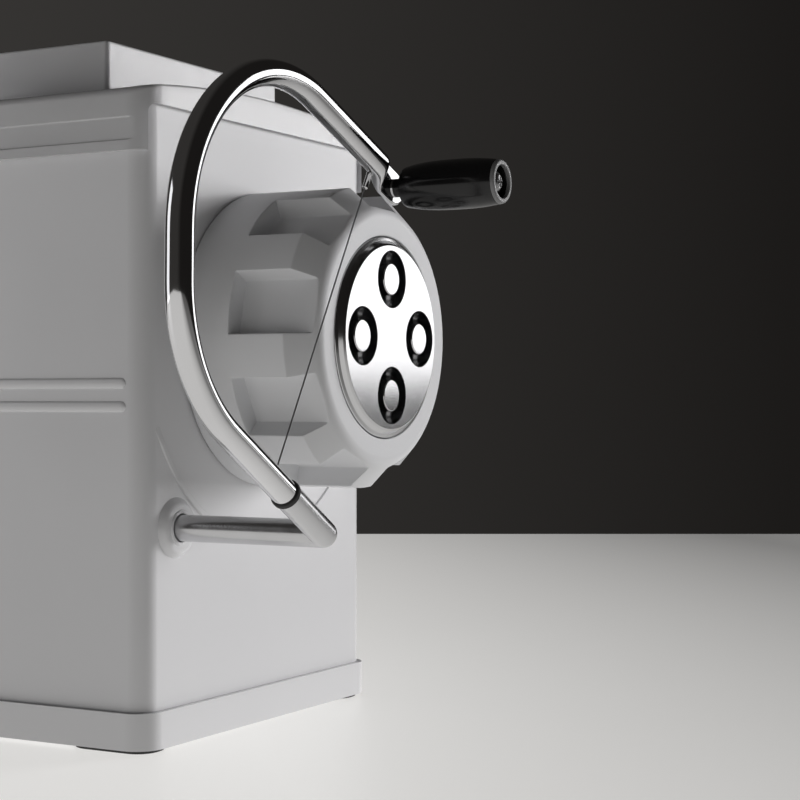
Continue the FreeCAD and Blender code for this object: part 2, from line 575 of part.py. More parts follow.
# Auger: a root shaft with one helical flight, and a journal through the gear plates
def make_auger():
    flight_radius = "(bore_radius - auger_gap)"
    start = "(-nose_length + auger_front - flare_length)"
    length = f"(plate_start - washer_thickness - fit_gap - {front} - {start})"
    root = rod("auger_root_shaft", "auger_root", length, "0", f"{front} + {start}", "axis_height")
    nose = doc.addObject("Part::Cone", "auger_nose")
    nose.Placement = FreeCAD.Placement(vector(), turns["-Y"])
    bind(nose, {"Radius1": "auger_root", "Radius2": "auger_root / 3", "Height": "auger_root"})
    place(nose, "0", f"{front} + {start}", "axis_height")
    helix = doc.addObject("Part::Helix", "auger_helix")
    bind(helix, {"Pitch": "auger_pitch", "Height": f"{length} - auger_pitch / 4", "Radius": "auger_root"})
    blade = doc.addObject("Sketcher::SketchObject", "auger_blade")
    blade.Placement = FreeCAD.Placement(vector(), FreeCAD.Rotation(vector(1, 0, 0), 90))
    trace(blade, ("auger_root / 2", "-flight_root / 2"),
          [(flight_radius, "-flight_tip / 2"), (flight_radius, "flight_tip / 2"),
           ("auger_root / 2", "flight_root / 2"), ("auger_root / 2", "-flight_root / 2")])
    flight = doc.addObject("Part::Sweep", "auger_flight")
    flight.Sections = [blade]
    flight.Spine = (helix, ["Edge1"])
    flight.Solid = True
    flight.Frenet = True
    flight.Placement = FreeCAD.Placement(vector(), turns["+Y"])
    place(flight, "0", f"{front} + {start} + flight_root / 2", "axis_height")
    journal = rod("auger_journal", "journal_radius",
                  f"{back_plate_end} + 2 * clip_width - plate_start + auger_root",
                  "0", "plate_start - auger_root", "axis_height")
    keep(fuse("auger_solid", [root, nose, flight, journal]), "auger")
    washer = rod("washer_disc", "journal_radius + running_gap + bush_wall + bush_rim", "washer_thickness",
                 "0", "plate_start - washer_thickness", "axis_height")
    hole = rod("washer_hole", "journal_radius + running_gap", "washer_thickness", "0",
               "plate_start - washer_thickness", "axis_height")
    keep(cut("washer_cut", washer, [hole]), "thrust_washer")
    clip("auger_clip", "journal_radius", "0", "axis_height")


# Die with four holes, each with a core on a spider, and the gasket behind it
die_back = "(nose_length + gasket_thickness)"
hole_spots = [(f"(die_hole_circle * cos({a}))", f"(axis_height + die_hole_circle * sin({a}))")
              for a in (0, 90, 180, 270)]
pocket_radius = "(die_hole_radius - spider_rim + spider_arm)"


def make_die():
    back, step = (f"-{die_back}", f"-({die_back} + die_flange)")
    face, edge = (f"-{die_front}", f"-({die_front} - die_lift * 0.25)")
    section = ("0", back), [
        ("die_flange_radius", back), ("die_flange_radius", step), ("die_boss_radius", step),
        ("die_boss_radius", "-nut_depth"), ("die_face_radius", edge),
        ("die_face_radius - die_lift * 0.25", face), ("0", face), ("0", back),
    ]
    disc = turned("die_disc", section, "0", front, "axis_height")
    holes = []
    for i, (x, z) in enumerate(hole_spots):
        holes.append(rod(f"die_hole_{i}", "die_hole_radius", "nut_depth", x, f"{front} - {die_front} - 1", z))
        holes.append(rod(f"die_pocket_{i}", "die_hole_radius + spider_rim", "spider_thickness", x,
                         f"{front} - {die_back} - spider_thickness", z))
    keep(cut("die_cut", disc, holes), "die")
    cores = []
    for i, (x, z) in enumerate(hole_spots):
        y = f"{front} - {die_back} - spider_thickness"
        ring = rod(f"core_ring_{i}", "die_hole_radius + spider_rim", "spider_thickness", x, y, z)
        ring_hole = rod(f"core_ring_hole_{i}", "die_hole_radius", "spider_thickness", x, y, z)
        tree = [cut(f"core_rim_{i}", ring, [ring_hole])]
        reach = "die_hole_radius + spider_rim / 2"
        tree.append(block(f"core_bar_{i}", (f"{x} - ({reach})", y, f"{z} - spider_arm / 2"),
                          (f"{x} + {reach}", f"{y} + spider_thickness", f"{z} + spider_arm / 2")))
        tree.append(block(f"core_post_{i}", (f"{x} - spider_arm / 2", y, f"{z} - ({reach})"),
                          (f"{x} + spider_arm / 2", f"{y} + spider_thickness", f"{z} + {reach}")))
        tree.append(rod(f"core_pin_{i}", "core_radius", f"{die_front} - {die_back}", x,
                        f"{front} - {die_front}", z))
        cores.append(fuse(f"core_{i}", tree))
    keep(group("die_core_group", cores), "die_cores")
    run = ("gasket_thickness", "0", f"{front} - {die_back}", "axis_height")
    ring = rod("gasket_ring", "die_flange_radius", *run)
    hole = rod("gasket_hole", "flare_radius", *run)
    keep(cut("gasket_cut", ring, [hole]), "die_gasket")


# Ring nut: a turned cup with open finger recesses round its front
def make_ring_nut():
    bore, inner = ("nose_radius + nut_bore_gap", "-(nut_depth - nut_lip)")
    section = (bore, "-nut_gap"), [
        ("nut_radius", "-nut_gap"), ("nut_radius", "-facet_start"), ("rim_radius", "-rim_start"),
        ("front_radius", "-nut_depth", "3 * (nut_depth - rim_start)", -1), ("nut_opening", "-nut_depth"),
        ("nut_opening", inner), (bore, inner), (bore, "-nut_gap"),
    ]
    body = new_body("ring_nut_body")
    sketch = trace(sketch_on(body, "XY_Plane", "ring_nut_section"), *section)
    turning = body.newObject("PartDesign::Revolution", "ring_nut_turning")
    turning.Profile = sketch
    turning.ReferenceAxis = (sketch, ["V_Axis"])
    turning.Angle = 360
    doc.recompute()
    recess = sketch_on(body, "XZ_Plane", "ring_nut_recess")
    bind(recess, {"AttachmentOffset.Base.z": "rib_start", "AttachmentOffset.Rotation.Angle": "recess_turn"})
    grow = "(recess_width - recess_floor_width) / 2 / (nut_radius - recess_floor)"
    wide = f"recess_width / 2 + {grow} * 2"
    trace(recess, ("recess_floor", "-recess_floor_width / 2"),
          [("nut_radius + 2", f"-({wide})"), ("nut_radius + 2", wide),
           ("recess_floor", "recess_floor_width / 2"), ("recess_floor", "-recess_floor_width / 2")])
    pocket = body.newObject("PartDesign::Pocket", "ring_nut_pocket")
    pocket.Profile = recess
    pocket.Reversed = True
    bind(pocket, {"Length": "nut_depth"})
    doc.recompute()
    pattern = body.newObject("PartDesign::PolarPattern", "ring_nut_recesses")
    pattern.Originals = [pocket]
    axis = [f for f in body.Origin.OriginFeatures if f.Role == "Y_Axis"][0]
    pattern.Axis = (axis, [""])
    pattern.Angle = 360
    bind(pattern, {"Occurrences": "recess_count"})
    body.Tip = pattern
    place(body, "0", front, "axis_height")
    return keep(body, "ring_nut")


# Crank: a shaft with an elbow, a bowed arm in one plane, the cutting wire and the grip's screw
leg_dx, leg_dz = ("cos(leg_angle)", "sin(leg_angle)")
side_dx, side_dz = ("cos(side_angle)", "sin(side_angle)")
top_dx, top_dz = ("cos(top_angle)", "sin(top_angle)")
low_x, low_z = (f"({shaft_x} + leg_run * {leg_dx})", f"({shaft_z} + leg_run * {leg_dz})")
high_x, high_z = (f"({low_x} + side_run * {side_dx})", f"({low_z} + side_run * {side_dz})")
grip_x, grip_z = (f"({high_x} + top_run * {top_dx})", f"({high_z} + top_run * {top_dz})")
low_setback = "(low_bend * tan((leg_angle - side_angle) / 2))"
high_setback = "(high_bend * tan((side_angle - top_angle) / 2))"
arm_start = "(elbow_leg + seal_width)"
wire_y = f"({arm_y} + wire_back)"
wire_low_x = f"({shaft_x} + wire_low_at * {leg_dx})"
wire_low_z = f"({shaft_z} + wire_low_at * {leg_dz})"
wire_high_x = f"({grip_x} - wire_high_at * {top_dx})"
wire_high_z = f"({grip_z} - wire_high_at * {top_dz})"


# A cylinder between two points of the crank's plane, found from the sheet
def strut(name, start, end, radius, y, begin=0.0, stop=0.0):
    a, b = (vector(num(start[0]), num(y), num(start[1])), vector(num(end[0]), num(y), num(end[1])))
    way = (b - a).normalize()
    thing = doc.addObject("Part::Feature", name)
    length = (b - a).Length - begin - stop
    thing.Shape = Part.makeCylinder(num(radius), length, vector(), vector(0, 0, 1))
    thing.Placement = FreeCAD.Placement(a + way * begin, FreeCAD.Rotation(vector(0, 0, 1), way))
    return thing


def make_crank_shaft():
    inner_end = "(body_wall + socket_start)"
    stem = rod("shaft_stem", "shaft_radius", f"{arm_plane} + {inner_end}", shaft_x, arm_y, shaft_z)
    ball = doc.addObject("Part::Sphere", "shaft_corner")
    bind(ball, {"Radius": "shaft_radius"})
    place(ball, shaft_x, arm_y, shaft_z)
    leg = doc.addObject("Part::Cylinder", "shaft_leg")
    leg.Placement = FreeCAD.Placement(vector(), FreeCAD.Rotation(vector(0, 1, 0), 90))
    bind(leg, {"Radius": "shaft_radius", "Height": "elbow_leg", "Placement.Rotation.Angle": "90 - leg_angle"})
    place(leg, shaft_x, arm_y, shaft_z)
    hexagon = doc.addObject("Part::Prism", "shaft_hexagon")
    hexagon.Polygon = 6
    hexagon.Placement = FreeCAD.Placement(vector(), turns["+Y"])
    bind(hexagon, {"Circumradius": "hex_flats / sqrt(3)", "Height": "hex_length + 1"})
    place(hexagon, shaft_x, f"{front} + {inner_end} - 1", shaft_z)
    bore = doc.addObject("Part::Cylinder", "shaft_leg_bore")
    bore.Placement = FreeCAD.Placement(vector(), FreeCAD.Rotation(vector(0, 1, 0), 90))
    bind(bore, {"Radius": "spigot_radius", "Height": "spigot_length",
                "Placement.Rotation.Angle": "90 - leg_angle"})
    place(bore, f"{shaft_x} + (elbow_leg - spigot_length) * {leg_dx}", arm_y,
          f"{shaft_z} + (elbow_leg - spigot_length) * {leg_dz}")
    keep(cut("shaft_cut", fuse("shaft_solid", [stem, ball, leg, hexagon]), [bore]), "crank_shaft")
    seal = doc.addObject("Part::Cylinder", "seal_disc")
    hole = doc.addObject("Part::Cylinder", "seal_hole")
    for thing, radius in ((seal, "arm_radius + seal_proud"), (hole, "spigot_radius")):
        thing.Placement = FreeCAD.Placement(vector(), FreeCAD.Rotation(vector(0, 1, 0), 90))
        bind(thing, {"Radius": radius, "Height": "seal_width", "Placement.Rotation.Angle": "90 - leg_angle"})
        place(thing, f"{shaft_x} + elbow_leg * {leg_dx}", arm_y, f"{shaft_z} + elbow_leg * {leg_dz}")
    keep(cut("seal_cut", seal, [hole]), "crank_seal_ring")


def make_arm():
    body = new_body("arm_body")
    spine = trace(sketch_on(body, "XZ_Plane", "arm_spine"),
                  (f"{shaft_x} + {arm_start} * {leg_dx}", f"{shaft_z} + {arm_start} * {leg_dz}"),
                  [(f"{low_x} - {low_setback} * {leg_dx}", f"{low_z} - {low_setback} * {leg_dz}"),
                   (f"{low_x} + {low_setback} * {side_dx}", f"{low_z} + {low_setback} * {side_dz}",
                    "low_bend", -1),
                   (f"{high_x} - {high_setback} * {side_dx}", f"{high_z} - {high_setback} * {side_dz}"),
                   (f"{high_x} + {high_setback} * {top_dx}", f"{high_z} + {high_setback} * {top_dz}",
                    "high_bend", -1),
                   (grip_x, grip_z)], closed=False)
    doc.recompute()
    ring = body.newObject("Sketcher::SketchObject", "arm_section")
    ring.AttachmentSupport = [(spine, "Edge1")]
    ring.MapMode = "NormalToEdge"
    ring.addGeometry(Part.Circle(vector(), vector(0, 0, 1), num("arm_radius")), False)
    ring.addConstraint(Sketcher.Constraint("Coincident", 0, 3, -1, 1))
    number = ring.addConstraint(Sketcher.Constraint("Radius", 0, num("arm_radius")))
    ring.setExpression(f"Constraints[{number}]", tie("arm_radius"))
    pipe = body.newObject("PartDesign::AdditivePipe", "arm_pipe")
    pipe.Profile = ring
    pipe.Spine = (spine, [f"Edge{i + 1}" for i in range(5)])
    place(body, "0", arm_y, "0")
    # the flattened end that carries the grip
    pad_y = f"({arm_y} + arm_radius - pad_set)"
    pad = rod("arm_pad", "pad_radius", "pad_thickness", grip_x, pad_y, grip_z, "-Y")
    spigot = doc.addObject("Part::Cylinder", "arm_spigot")
    spigot.Placement = FreeCAD.Placement(vector(), FreeCAD.Rotation(vector(0, 1, 0), 90))
    bind(spigot, {"Radius": "spigot_radius", "Height": "seal_width + spigot_length - fit_gap + 1",
                  "Placement.Rotation.Angle": "90 - leg_angle"})
    begin = "(elbow_leg - spigot_length + fit_gap)"
    place(spigot, f"{shaft_x} + {begin} * {leg_dx}", arm_y, f"{shaft_z} + {begin} * {leg_dz}")
    flat = new_body("arm_flat")
    depth = "2 * arm_radius - pad_thickness"
    side = trace(sketch_on(flat, "XY_Plane", "arm_flat_side"), ("-pad_run", "0"),
                 [("2 * pad_radius", "0"), ("2 * pad_radius", f"-2 * ({depth})"),
                  ("-pad_run - 2 * pad_ramp", f"-2 * ({depth})"), ("-pad_run", "0")])
    block_out = flat.newObject("PartDesign::Pad", "arm_flat_pad")
    block_out.Profile = side
    block_out.SideType = "Symmetric"
    bind(block_out, {"Length": "6 * arm_radius"})
    flat.Placement = FreeCAD.Placement(vector(), FreeCAD.Rotation(vector(0, 1, 0), 10))
    bind(flat, {"Placement.Rotation.Angle": "-top_angle"})
    place(flat, grip_x, f"{pad_y} - pad_thickness", grip_z)
    low, high = ((wire_low_x, wire_low_z), (wire_high_x, wire_high_z))
    span = math.dist([num(v) for v in low], [num(v) for v in high])
    ends = (("low", 0, span - num("arm_radius + low_ferrule_proud")),
            ("high", span - num("arm_radius + high_ferrule_proud"), 0))
    seats = [strut(f"arm_{name}_seat", low, high, "ferrule_radius", wire_y, begin, stop)
             for name, begin, stop in ends]
    hole = rod("arm_screw_hole", "grip_screw_radius", "4 * arm_radius",
               grip_x, f"{arm_y} - 2 * arm_radius", grip_z)
    rough = fuse("arm_solid", [cut("arm_ramped", body, [flat]), pad, spigot])
    keep(cut("arm_cut", rough, seats + [hole]), "crank_arm")
    wire = strut("wire_rod", low, high, "wire_radius", wire_y)
    keep(wire, "cutting_wire")
    ferrules = []
    for name, begin, stop in ends:
        sleeve = strut(f"ferrule_{name}", low, high, "ferrule_radius", wire_y, begin, stop)
        bore = strut(f"ferrule_bore_{name}", low, high, "wire_radius", wire_y)
        ferrules.append(cut(f"ferrule_tube_{name}", sleeve, [bore]))
    keep(group("ferrule_group", ferrules), "wire_ferrules")


# Inner end of the crank: hexagon socket, drive shaft and cross pin
def make_drive():
    start = f"({front} + body_wall + socket_start)"
    sleeve = rod("socket_sleeve", "socket_radius", "socket_length", shaft_x, start, shaft_z)
    bore = doc.addObject("Part::Prism", "socket_hexagon")
    bore.Polygon = 6
    bore.Placement = FreeCAD.Placement(vector(), turns["+Y"])
    bind(bore, {"Circumradius": "(hex_flats + 2 * hex_gap) / sqrt(3)", "Height": "hex_length + fit_gap"})
    place(bore, shaft_x, start, shaft_z)
    inner = f"({start} + socket_length - socket_hold)"
    seat = rod("socket_seat", "drive_radius", "socket_hold", shaft_x, inner, shaft_z)
    cross = rod("socket_cross", "pin_radius", "2 * socket_radius", shaft_x,
                f"{start} + socket_length - socket_hold / 2", f"{shaft_z} - socket_radius", "+Z")
    keep(cut("socket_cut", sleeve, [bore, seat, cross]), "drive_socket")
    shaft = rod("drive_rod", "drive_radius", f"{back_plate_end} + 2 * clip_width - {inner}",
                shaft_x, inner, shaft_z)
    keep(cut("drive_cut", shaft, [cross]), "drive_shaft")
    keep(rod("cross_pin", "pin_radius", "2 * socket_radius - fit_gap", shaft_x,
             f"{start} + socket_length - socket_hold / 2", f"{shaft_z} - socket_radius + fit_gap / 2", "+Z"),
         "socket_pin")
    clip("drive_clip", "drive_radius", shaft_x, shaft_z)


# Grip: a swelling barrel that spins on the screw
def make_grip():
    pad_front = f"({arm_y} + arm_radius - pad_set - pad_thickness)"
    start = f"({pad_front} - grip_washer)"
    bore = "grip_screw_radius + grip_play"
    neck, end = ("-grip_neck", "-(grip_neck + grip_length)")
    pocket = f"{end} + grip_pocket"
    section = (bore, "0"), [
        ("grip_neck_radius", "0"), ("grip_neck_radius", neck), ("grip_start_radius", neck),
        ("grip_end_radius", end, "grip_swell", -1), ("grip_pocket_radius", end),
        ("grip_pocket_radius", pocket), (bore, pocket), (bore, "0"),
    ]
    keep(turned("grip_barrel", section, grip_x, start, grip_z), "grip")
    run = ("grip_ring", grip_x, f"{start} - grip_neck - grip_length", grip_z, "-Y")
    ring = rod("grip_ring_disc", "grip_end_radius", *run)
    hole = rod("grip_ring_hole", "grip_pocket_radius", *run)
    keep(cut("grip_ring_cut", ring, [hole]), "grip_end_ring")
    washer = rod("grip_washer_disc", "grip_neck_radius", "grip_washer - grip_play",
                 grip_x, pad_front, grip_z, "-Y")
    washer_hole = rod("grip_washer_hole", "grip_screw_radius", "grip_washer",
                      grip_x, pad_front, grip_z, "-Y")
    keep(cut("grip_washer_cut", washer, [washer_hole]), "grip_washer")
    head_y = f"({start} - grip_neck - grip_length + grip_pocket - grip_play)"
    shank = rod("screw_shank", "grip_screw_radius", f"{pad_front} + pad_thickness - {head_y}",
                grip_x, head_y, grip_z)
    head = rod("screw_head", "screw_head_radius", "screw_head_height", grip_x, head_y, grip_z, "-Y")
    slots = []
    face = f"({head_y} - screw_head_height)"
    for name, dx, dz in (("long", "screw_head_radius * 0.55", "slot_width / 2"),
                         ("cross", "slot_width / 2", "screw_head_radius * 0.55")):
        slots.append(block(f"screw_slot_{name}", (f"{grip_x} - {dx}", f"{face} - 1", f"{grip_z} - {dz}"),
                           (f"{grip_x} + {dx}", f"{face} + slot_depth", f"{grip_z} + {dz}")))
    keep(cut("screw_cut", fuse("screw_solid", [shank, head]), slots), "grip_screw")


# Hopper: a funnel from the housing's rim down to the barrel's throat
def make_hopper():
    top_x, top_y = ("body_width / 2 - hopper_edge", "body_depth / 2 - hopper_edge")
    low_half = ("throat_width / 2 + throat_wall + hopper_gap", "throat_length / 2 + throat_wall + hopper_gap")

    def funnel(name, grow, low, high):
        ends = []
        for tag, half_x, half_y, y, z in (("low", low_half[0], low_half[1], "throat_centre", low),
                                          ("high", top_x, top_y, "0", high)):
            rim = doc.addObject("Sketcher::SketchObject", f"{name}_{tag}")
            trace(rim, *oblong(f"{half_x} + {grow}", f"{half_y} + {grow}"))
            place(rim, "0", y, z)
            ends.append(rim)
        loft = doc.addObject("Part::Loft", name)
        loft.Sections = ends
        loft.Solid = True
        loft.Ruled = True
        return loft

    low, high = (f"(axis_height + {barrel_radius} + hopper_gap)", "body_top")
    outer = funnel("hopper_outer", "0", low, high)
    inner = funnel("hopper_inner", "(-hopper_wall)", f"({low} + hopper_wall)", f"({high} + hopper_wall)")
    rim = slab("hopper_flange", rounded("body_width / 2", "body_depth / 2", "body_corner"), "hopper_rim", high)
    mouth = slab("hopper_mouth", oblong(f"{top_x} - hopper_wall", f"{top_y} - hopper_wall"), "3 * hopper_rim",
                 f"{high} - hopper_rim / 4")
    hole = block("hopper_throat_hole",
                 (f"-({low_half[0]})", f"throat_centre - ({low_half[1]})", "axis_height"),
                 (low_half[0], f"throat_centre + {low_half[1]}", "throat_top + fit_gap"))
    keep(cut("hopper_cut", fuse("hopper_solid", [outer, rim]), [inner, mouth, hole]), "hopper")


# Lid: a clear arched cover with deep side skirts and a raised feed chute
def make_lid():
    radius = "(body_corner + lid_gap + lid_wall)"
    outer = slab("lid_outer", rounded(lid_half_x, lid_half_y, radius),
                 "lid_edge_top + lid_crown - lid_side_low", "lid_side_low")
    inner = slab("lid_inner",
                 rounded("body_width / 2 + lid_gap", "body_depth / 2 + lid_gap", "(body_corner + lid_gap)"),
                 "body_top + hopper_rim - lid_side_low", "lid_side_low")
    crown_radius = f"(({lid_half_x} * {lid_half_x} + lid_crown * lid_crown) / (2 * lid_crown))"
    crown_z = f"(lid_edge_top + lid_crown - {crown_radius})"
    arch = rod("lid_arch", crown_radius, "3 * body_depth", "0", "-1.5 * body_depth", crown_z)
    cover = common("lid_cover", [outer, arch])
    cavity = common("lid_cavity", [
        slab("lid_hollow",
             rounded("body_width / 2 - lid_wall", "body_depth / 2 - lid_wall", "(body_corner - lid_wall)"),
             "body_width", "body_top"),
        rod("lid_inner_arch", f"{crown_radius} - lid_wall", "3 * body_depth",
            "0", "-1.5 * body_depth", crown_z)])
    wide = f"2 * {lid_half_x}"
    opens = [inner, cavity]
    for i, side in enumerate((-1, 1)):
        opens.append(block(f"lid_front_cut_{i}",
                           ("-body_width / 2 + lid_leg", f"{side} * {lid_half_y} - body_corner", "0"),
                           ("body_width / 2 - lid_leg", f"{side} * {lid_half_y} + body_corner",
                            "lid_front_low")))
        step_x = f"{side} * ({lid_half_x} + lid_wall)"
        opens.append(block(f"lid_side_step_{i}",
                           (f"{step_x} - lid_wall - lid_step_in", "-body_depth / 2 + body_corner",
                            "lid_side_low + lid_band"),
                           (f"{step_x} + lid_wall + lid_step_in", "body_depth / 2 - body_corner",
                            "lid_step")))
    chute = block("lid_chute", ("-chute_width / 2", "-chute_length / 2", "lid_edge_top"),
                  ("chute_width / 2", "chute_length / 2", "chute_top"))
    half_w, half_l = ("(chute_width / 2 - chute_wall)", "(chute_length / 2 - chute_wall)")
    chute_hole = block("lid_chute_hole", (f"-{half_w}", f"-{half_l}", "lid_edge_top + lid_crown"),
                       (half_w, half_l, f"chute_top + {wide}"))
    mouth = block("lid_mouth", ("-mouth_width / 2", "-mouth_length / 2", "body_top"),
                  ("mouth_width / 2", "mouth_length / 2", f"chute_top + {wide}"))
    whole = fuse("lid_solid", [cut("lid_shell", cover, opens), chute])
    keep(cut("lid_cut", whole, [chute_hole, mouth, cavity]), "lid")


make_housing()
make_base()
make_barrel()
make_gear_case()
make_gears()
make_auger()
make_die()
make_ring_nut()
make_crank_shaft()
make_arm()
make_drive()
make_grip()
make_hopper()
make_lid()
doc.recompute()

for thing in doc.Objects:
    if "Invalid" in thing.State or "Error" in thing.State:
        raise RuntimeError(f"{thing.Name} failed: {thing.State}")
os.makedirs("parts", exist_ok=True)
for thing in made:
    shape = thing.Shape
    if shape.isNull() or not shape.isValid() or shape.Volume <= 0:
        raise RuntimeError(f"{thing.Label} has no valid solid")
    shape.exportStep(f"parts/{thing.Label}.step")
    print(f"{thing.Label}: {len(shape.Solids)} solid, {shape.Volume / 1000:.2f} cm3")
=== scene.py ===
import json
import math

import bmesh
import bpy
from mathutils import Matrix, Vector


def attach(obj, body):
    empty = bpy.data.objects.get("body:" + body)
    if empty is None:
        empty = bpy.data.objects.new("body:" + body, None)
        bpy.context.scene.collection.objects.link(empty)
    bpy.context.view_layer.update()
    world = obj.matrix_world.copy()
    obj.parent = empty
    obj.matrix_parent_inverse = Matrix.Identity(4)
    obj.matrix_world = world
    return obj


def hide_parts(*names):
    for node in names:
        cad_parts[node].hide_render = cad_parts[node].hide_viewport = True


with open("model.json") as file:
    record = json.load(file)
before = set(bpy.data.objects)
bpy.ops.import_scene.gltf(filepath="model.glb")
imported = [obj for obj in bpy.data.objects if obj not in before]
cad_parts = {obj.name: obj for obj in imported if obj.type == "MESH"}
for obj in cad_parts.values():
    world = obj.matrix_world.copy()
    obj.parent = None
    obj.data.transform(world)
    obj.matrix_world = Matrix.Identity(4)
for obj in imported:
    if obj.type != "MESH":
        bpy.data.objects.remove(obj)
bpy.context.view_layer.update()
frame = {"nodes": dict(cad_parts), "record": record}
nodes = frame["nodes"]
print("frame: loaded", len(nodes), "nodes")

# Pieces are in millimetres, with +Z up and the die facing -Y, and are scaled to metres once;
# the camera, the finishes, the floor and the lamps are in metres
mm = 0.001
place = dict(dieZ=154.0, faceY=-90.0, shaftX=-60.5476, shaftZ=82.0974, gripX=-2.5941, gripZ=211.328)


# camera, first because every other choice is judged through it
view = dict(at=(-0.6183, -0.4908, 0.1301), turn=28.70, lens=82.14, sensor=36.0, shiftY=-0.001,
            near=0.02, far=60)


def makeCamera():
    data = bpy.data.cameras.new("photoCamera")
    data.lens, data.sensor_width, data.shift_y = view["lens"], view["sensor"], view["shiftY"]
    data.clip_start, data.clip_end = view["near"], view["far"]
    camera = bpy.data.objects.new("photoCamera", data)
    camera.location = view["at"]
    turn = math.radians(view["turn"])
    aim = Vector((math.cos(turn), math.sin(turn), 0))
    camera.rotation_euler = aim.to_track_quat("-Z", "Y").to_euler()
    bpy.context.scene.collection.objects.link(camera)
    bpy.context.scene.camera = camera
    return aim


aim = makeCamera()
bpy.context.scene.view_settings.view_transform = "Standard"
print("camera: set")


# node trees from plain expressions
class Wire:
    def __init__(self, net, socket):
        self.net, self.socket = net, socket

    def work(self, operation, *others):
        return self.net.add("ShaderNodeMath", dict(operation=operation), [self, *others])

    def __add__(self, other):
        return self.work("ADD", other)

    def __sub__(self, other):
        return self.work("SUBTRACT", other)

    def __rsub__(self, other):
        return self.net.add("ShaderNodeMath", dict(operation="SUBTRACT"), [other, self])

    def __mul__(self, other):
        return self.work("MULTIPLY", other)

    def __truediv__(self, other):
        return self.work("DIVIDE", other)

    def __pow__(self, other):
        return self.work("POWER", other)

    __radd__, __rmul__ = __add__, __mul__

    def clamped(self):
        return self.net.add("ShaderNodeClamp", {}, [self, 0.0, 1.0])


class Net:
    def __init__(self, tree):
        self.tree = tree
        tree.nodes.clear()

    # one node of any type: its settings first, then the values or links of its sockets
    def add(self, kind, settings=None, sockets=(), out=0):
        node = self.tree.nodes.new(kind)
        for name, value in (settings or {}).items():
            setattr(node, name, value)
        pairs = sockets.items() if isinstance(sockets, dict) else enumerate(sockets)
        for key, value in pairs:
            self.join(node.inputs[key], value)
        return Wire(self, node.outputs[out]) if node.outputs else node

    def join(self, socket, value):
        if isinstance(value, Wire):
            self.tree.links.new(value.socket, socket)
        elif value is not None:
            socket.default_value = value

    # the Mix node's sockets for colours: 0 is the mask, 6 and 7 are the two tones, 2 is the result
    def tone(self, low, high, mask):
        return self.add("ShaderNodeMix", dict(data_type="RGBA"),
                        {0: mask, 6: (*low, 1), 7: (*high, 1)}, out=2)

    # how far a place or a direction lies along a way
    def along(self, spot, way):
        return self.add("ShaderNodeVectorMath", dict(operation="DOT_PRODUCT"), [spot, way], out=1)


class Finish(Net):
    def __init__(self, name):
        self.material = bpy.data.materials.new(name)
        self.material.use_nodes = True
        super().__init__(self.material.node_tree)
        self.spot = self.add("ShaderNodeTexCoord", out=3)  # Object coordinates

    def noise(self, scale, detail=3.0, stretch=(1, 1, 1), roughness=0.5):
        spot = self.spot
        if stretch != (1, 1, 1):
            spot = self.add("ShaderNodeMapping", {}, {"Vector": self.spot, "Scale": stretch})
        return self.add("ShaderNodeTexNoise", {}, {"Vector": spot, "Scale": scale, "Detail": detail,
                                                   "Roughness": roughness})

    def relief(self, height, depth, before=None):
        return self.add("ShaderNodeBump", {}, {"Height": height, "Distance": depth, "Strength": 1.0,
                                               "Normal": before})

    def close(self, plain, **sockets):
        bsdf = self.tree.nodes.new("ShaderNodeBsdfPrincipled")
        for name, value in {**plain, **sockets}.items():
            self.join(bsdf.inputs[name.replace("_", " ")], value)
        self.add("ShaderNodeOutputMaterial", {}, [Wire(self, bsdf.outputs[0])])
        return self.material


# finishes; a noise's scale is per metre, and each grain, ripple and pitch is in metres
plastics = dict(white=(0.76, 0.76, 0.775), nut=(0.76, 0.765, 0.78), grey=(0.22, 0.22, 0.223),
                food=(0.66, 0.66, 0.63), gear=(0.62, 0.58, 0.47), gloss=0.24, nutGloss=0.36,
                greyGloss=0.32, foodGloss=0.38, gearGloss=0.42, dull=0.955, coat=0.25, coatGloss=0.12,
                broad=9.0, fine=1400.0, smudge=38.0, smudgeGloss=0.08, ripple=0.0006, grain=0.000012,
                nutGrain=0.000024, innerGrain=0.00002)
clear = dict(low=(0.78, 0.78, 0.795), high=(0.88, 0.88, 0.895), seeThrough=0.36, gloss=0.07, hazeGloss=0.10,
             flow=14.0, haze=240.0, ripple=0.0006)
metals = dict(chrome=(0.80, 0.80, 0.81), satin=(0.66, 0.66, 0.67), wire=(0.42, 0.42, 0.43),
              zinc=(0.50, 0.51, 0.53), aluminium=(0.58, 0.585, 0.59), brass=(0.60, 0.44, 0.17),
              polish=150.0, cloud=26.0, dull=0.86, polishGloss=0.9, cloudGloss=0.02)
dieFace = dict(shade=(0.74, 0.74, 0.75), gloss=0.13, dull=0.88, cloud=60.0, cloudGloss=0.05, fine=500.0,
               pitch=0.0006, grain=0.0000015)
gripBlack = dict(low=(0.004, 0.004, 0.0045), high=(0.009, 0.0085, 0.009), gloss=0.13, cloudGloss=0.10,
                 cloud=45.0, fine=900.0, grain=0.000004, coat=0.1, coatGloss=0.06)
rubber = dict(low=(0.010, 0.010, 0.010), high=(0.030, 0.029, 0.029), gloss=0.55, fineGloss=0.25,
              fine=1800.0, grain=0.00003)


def dulled(shade, share):
    return tuple(c * share for c in shade)


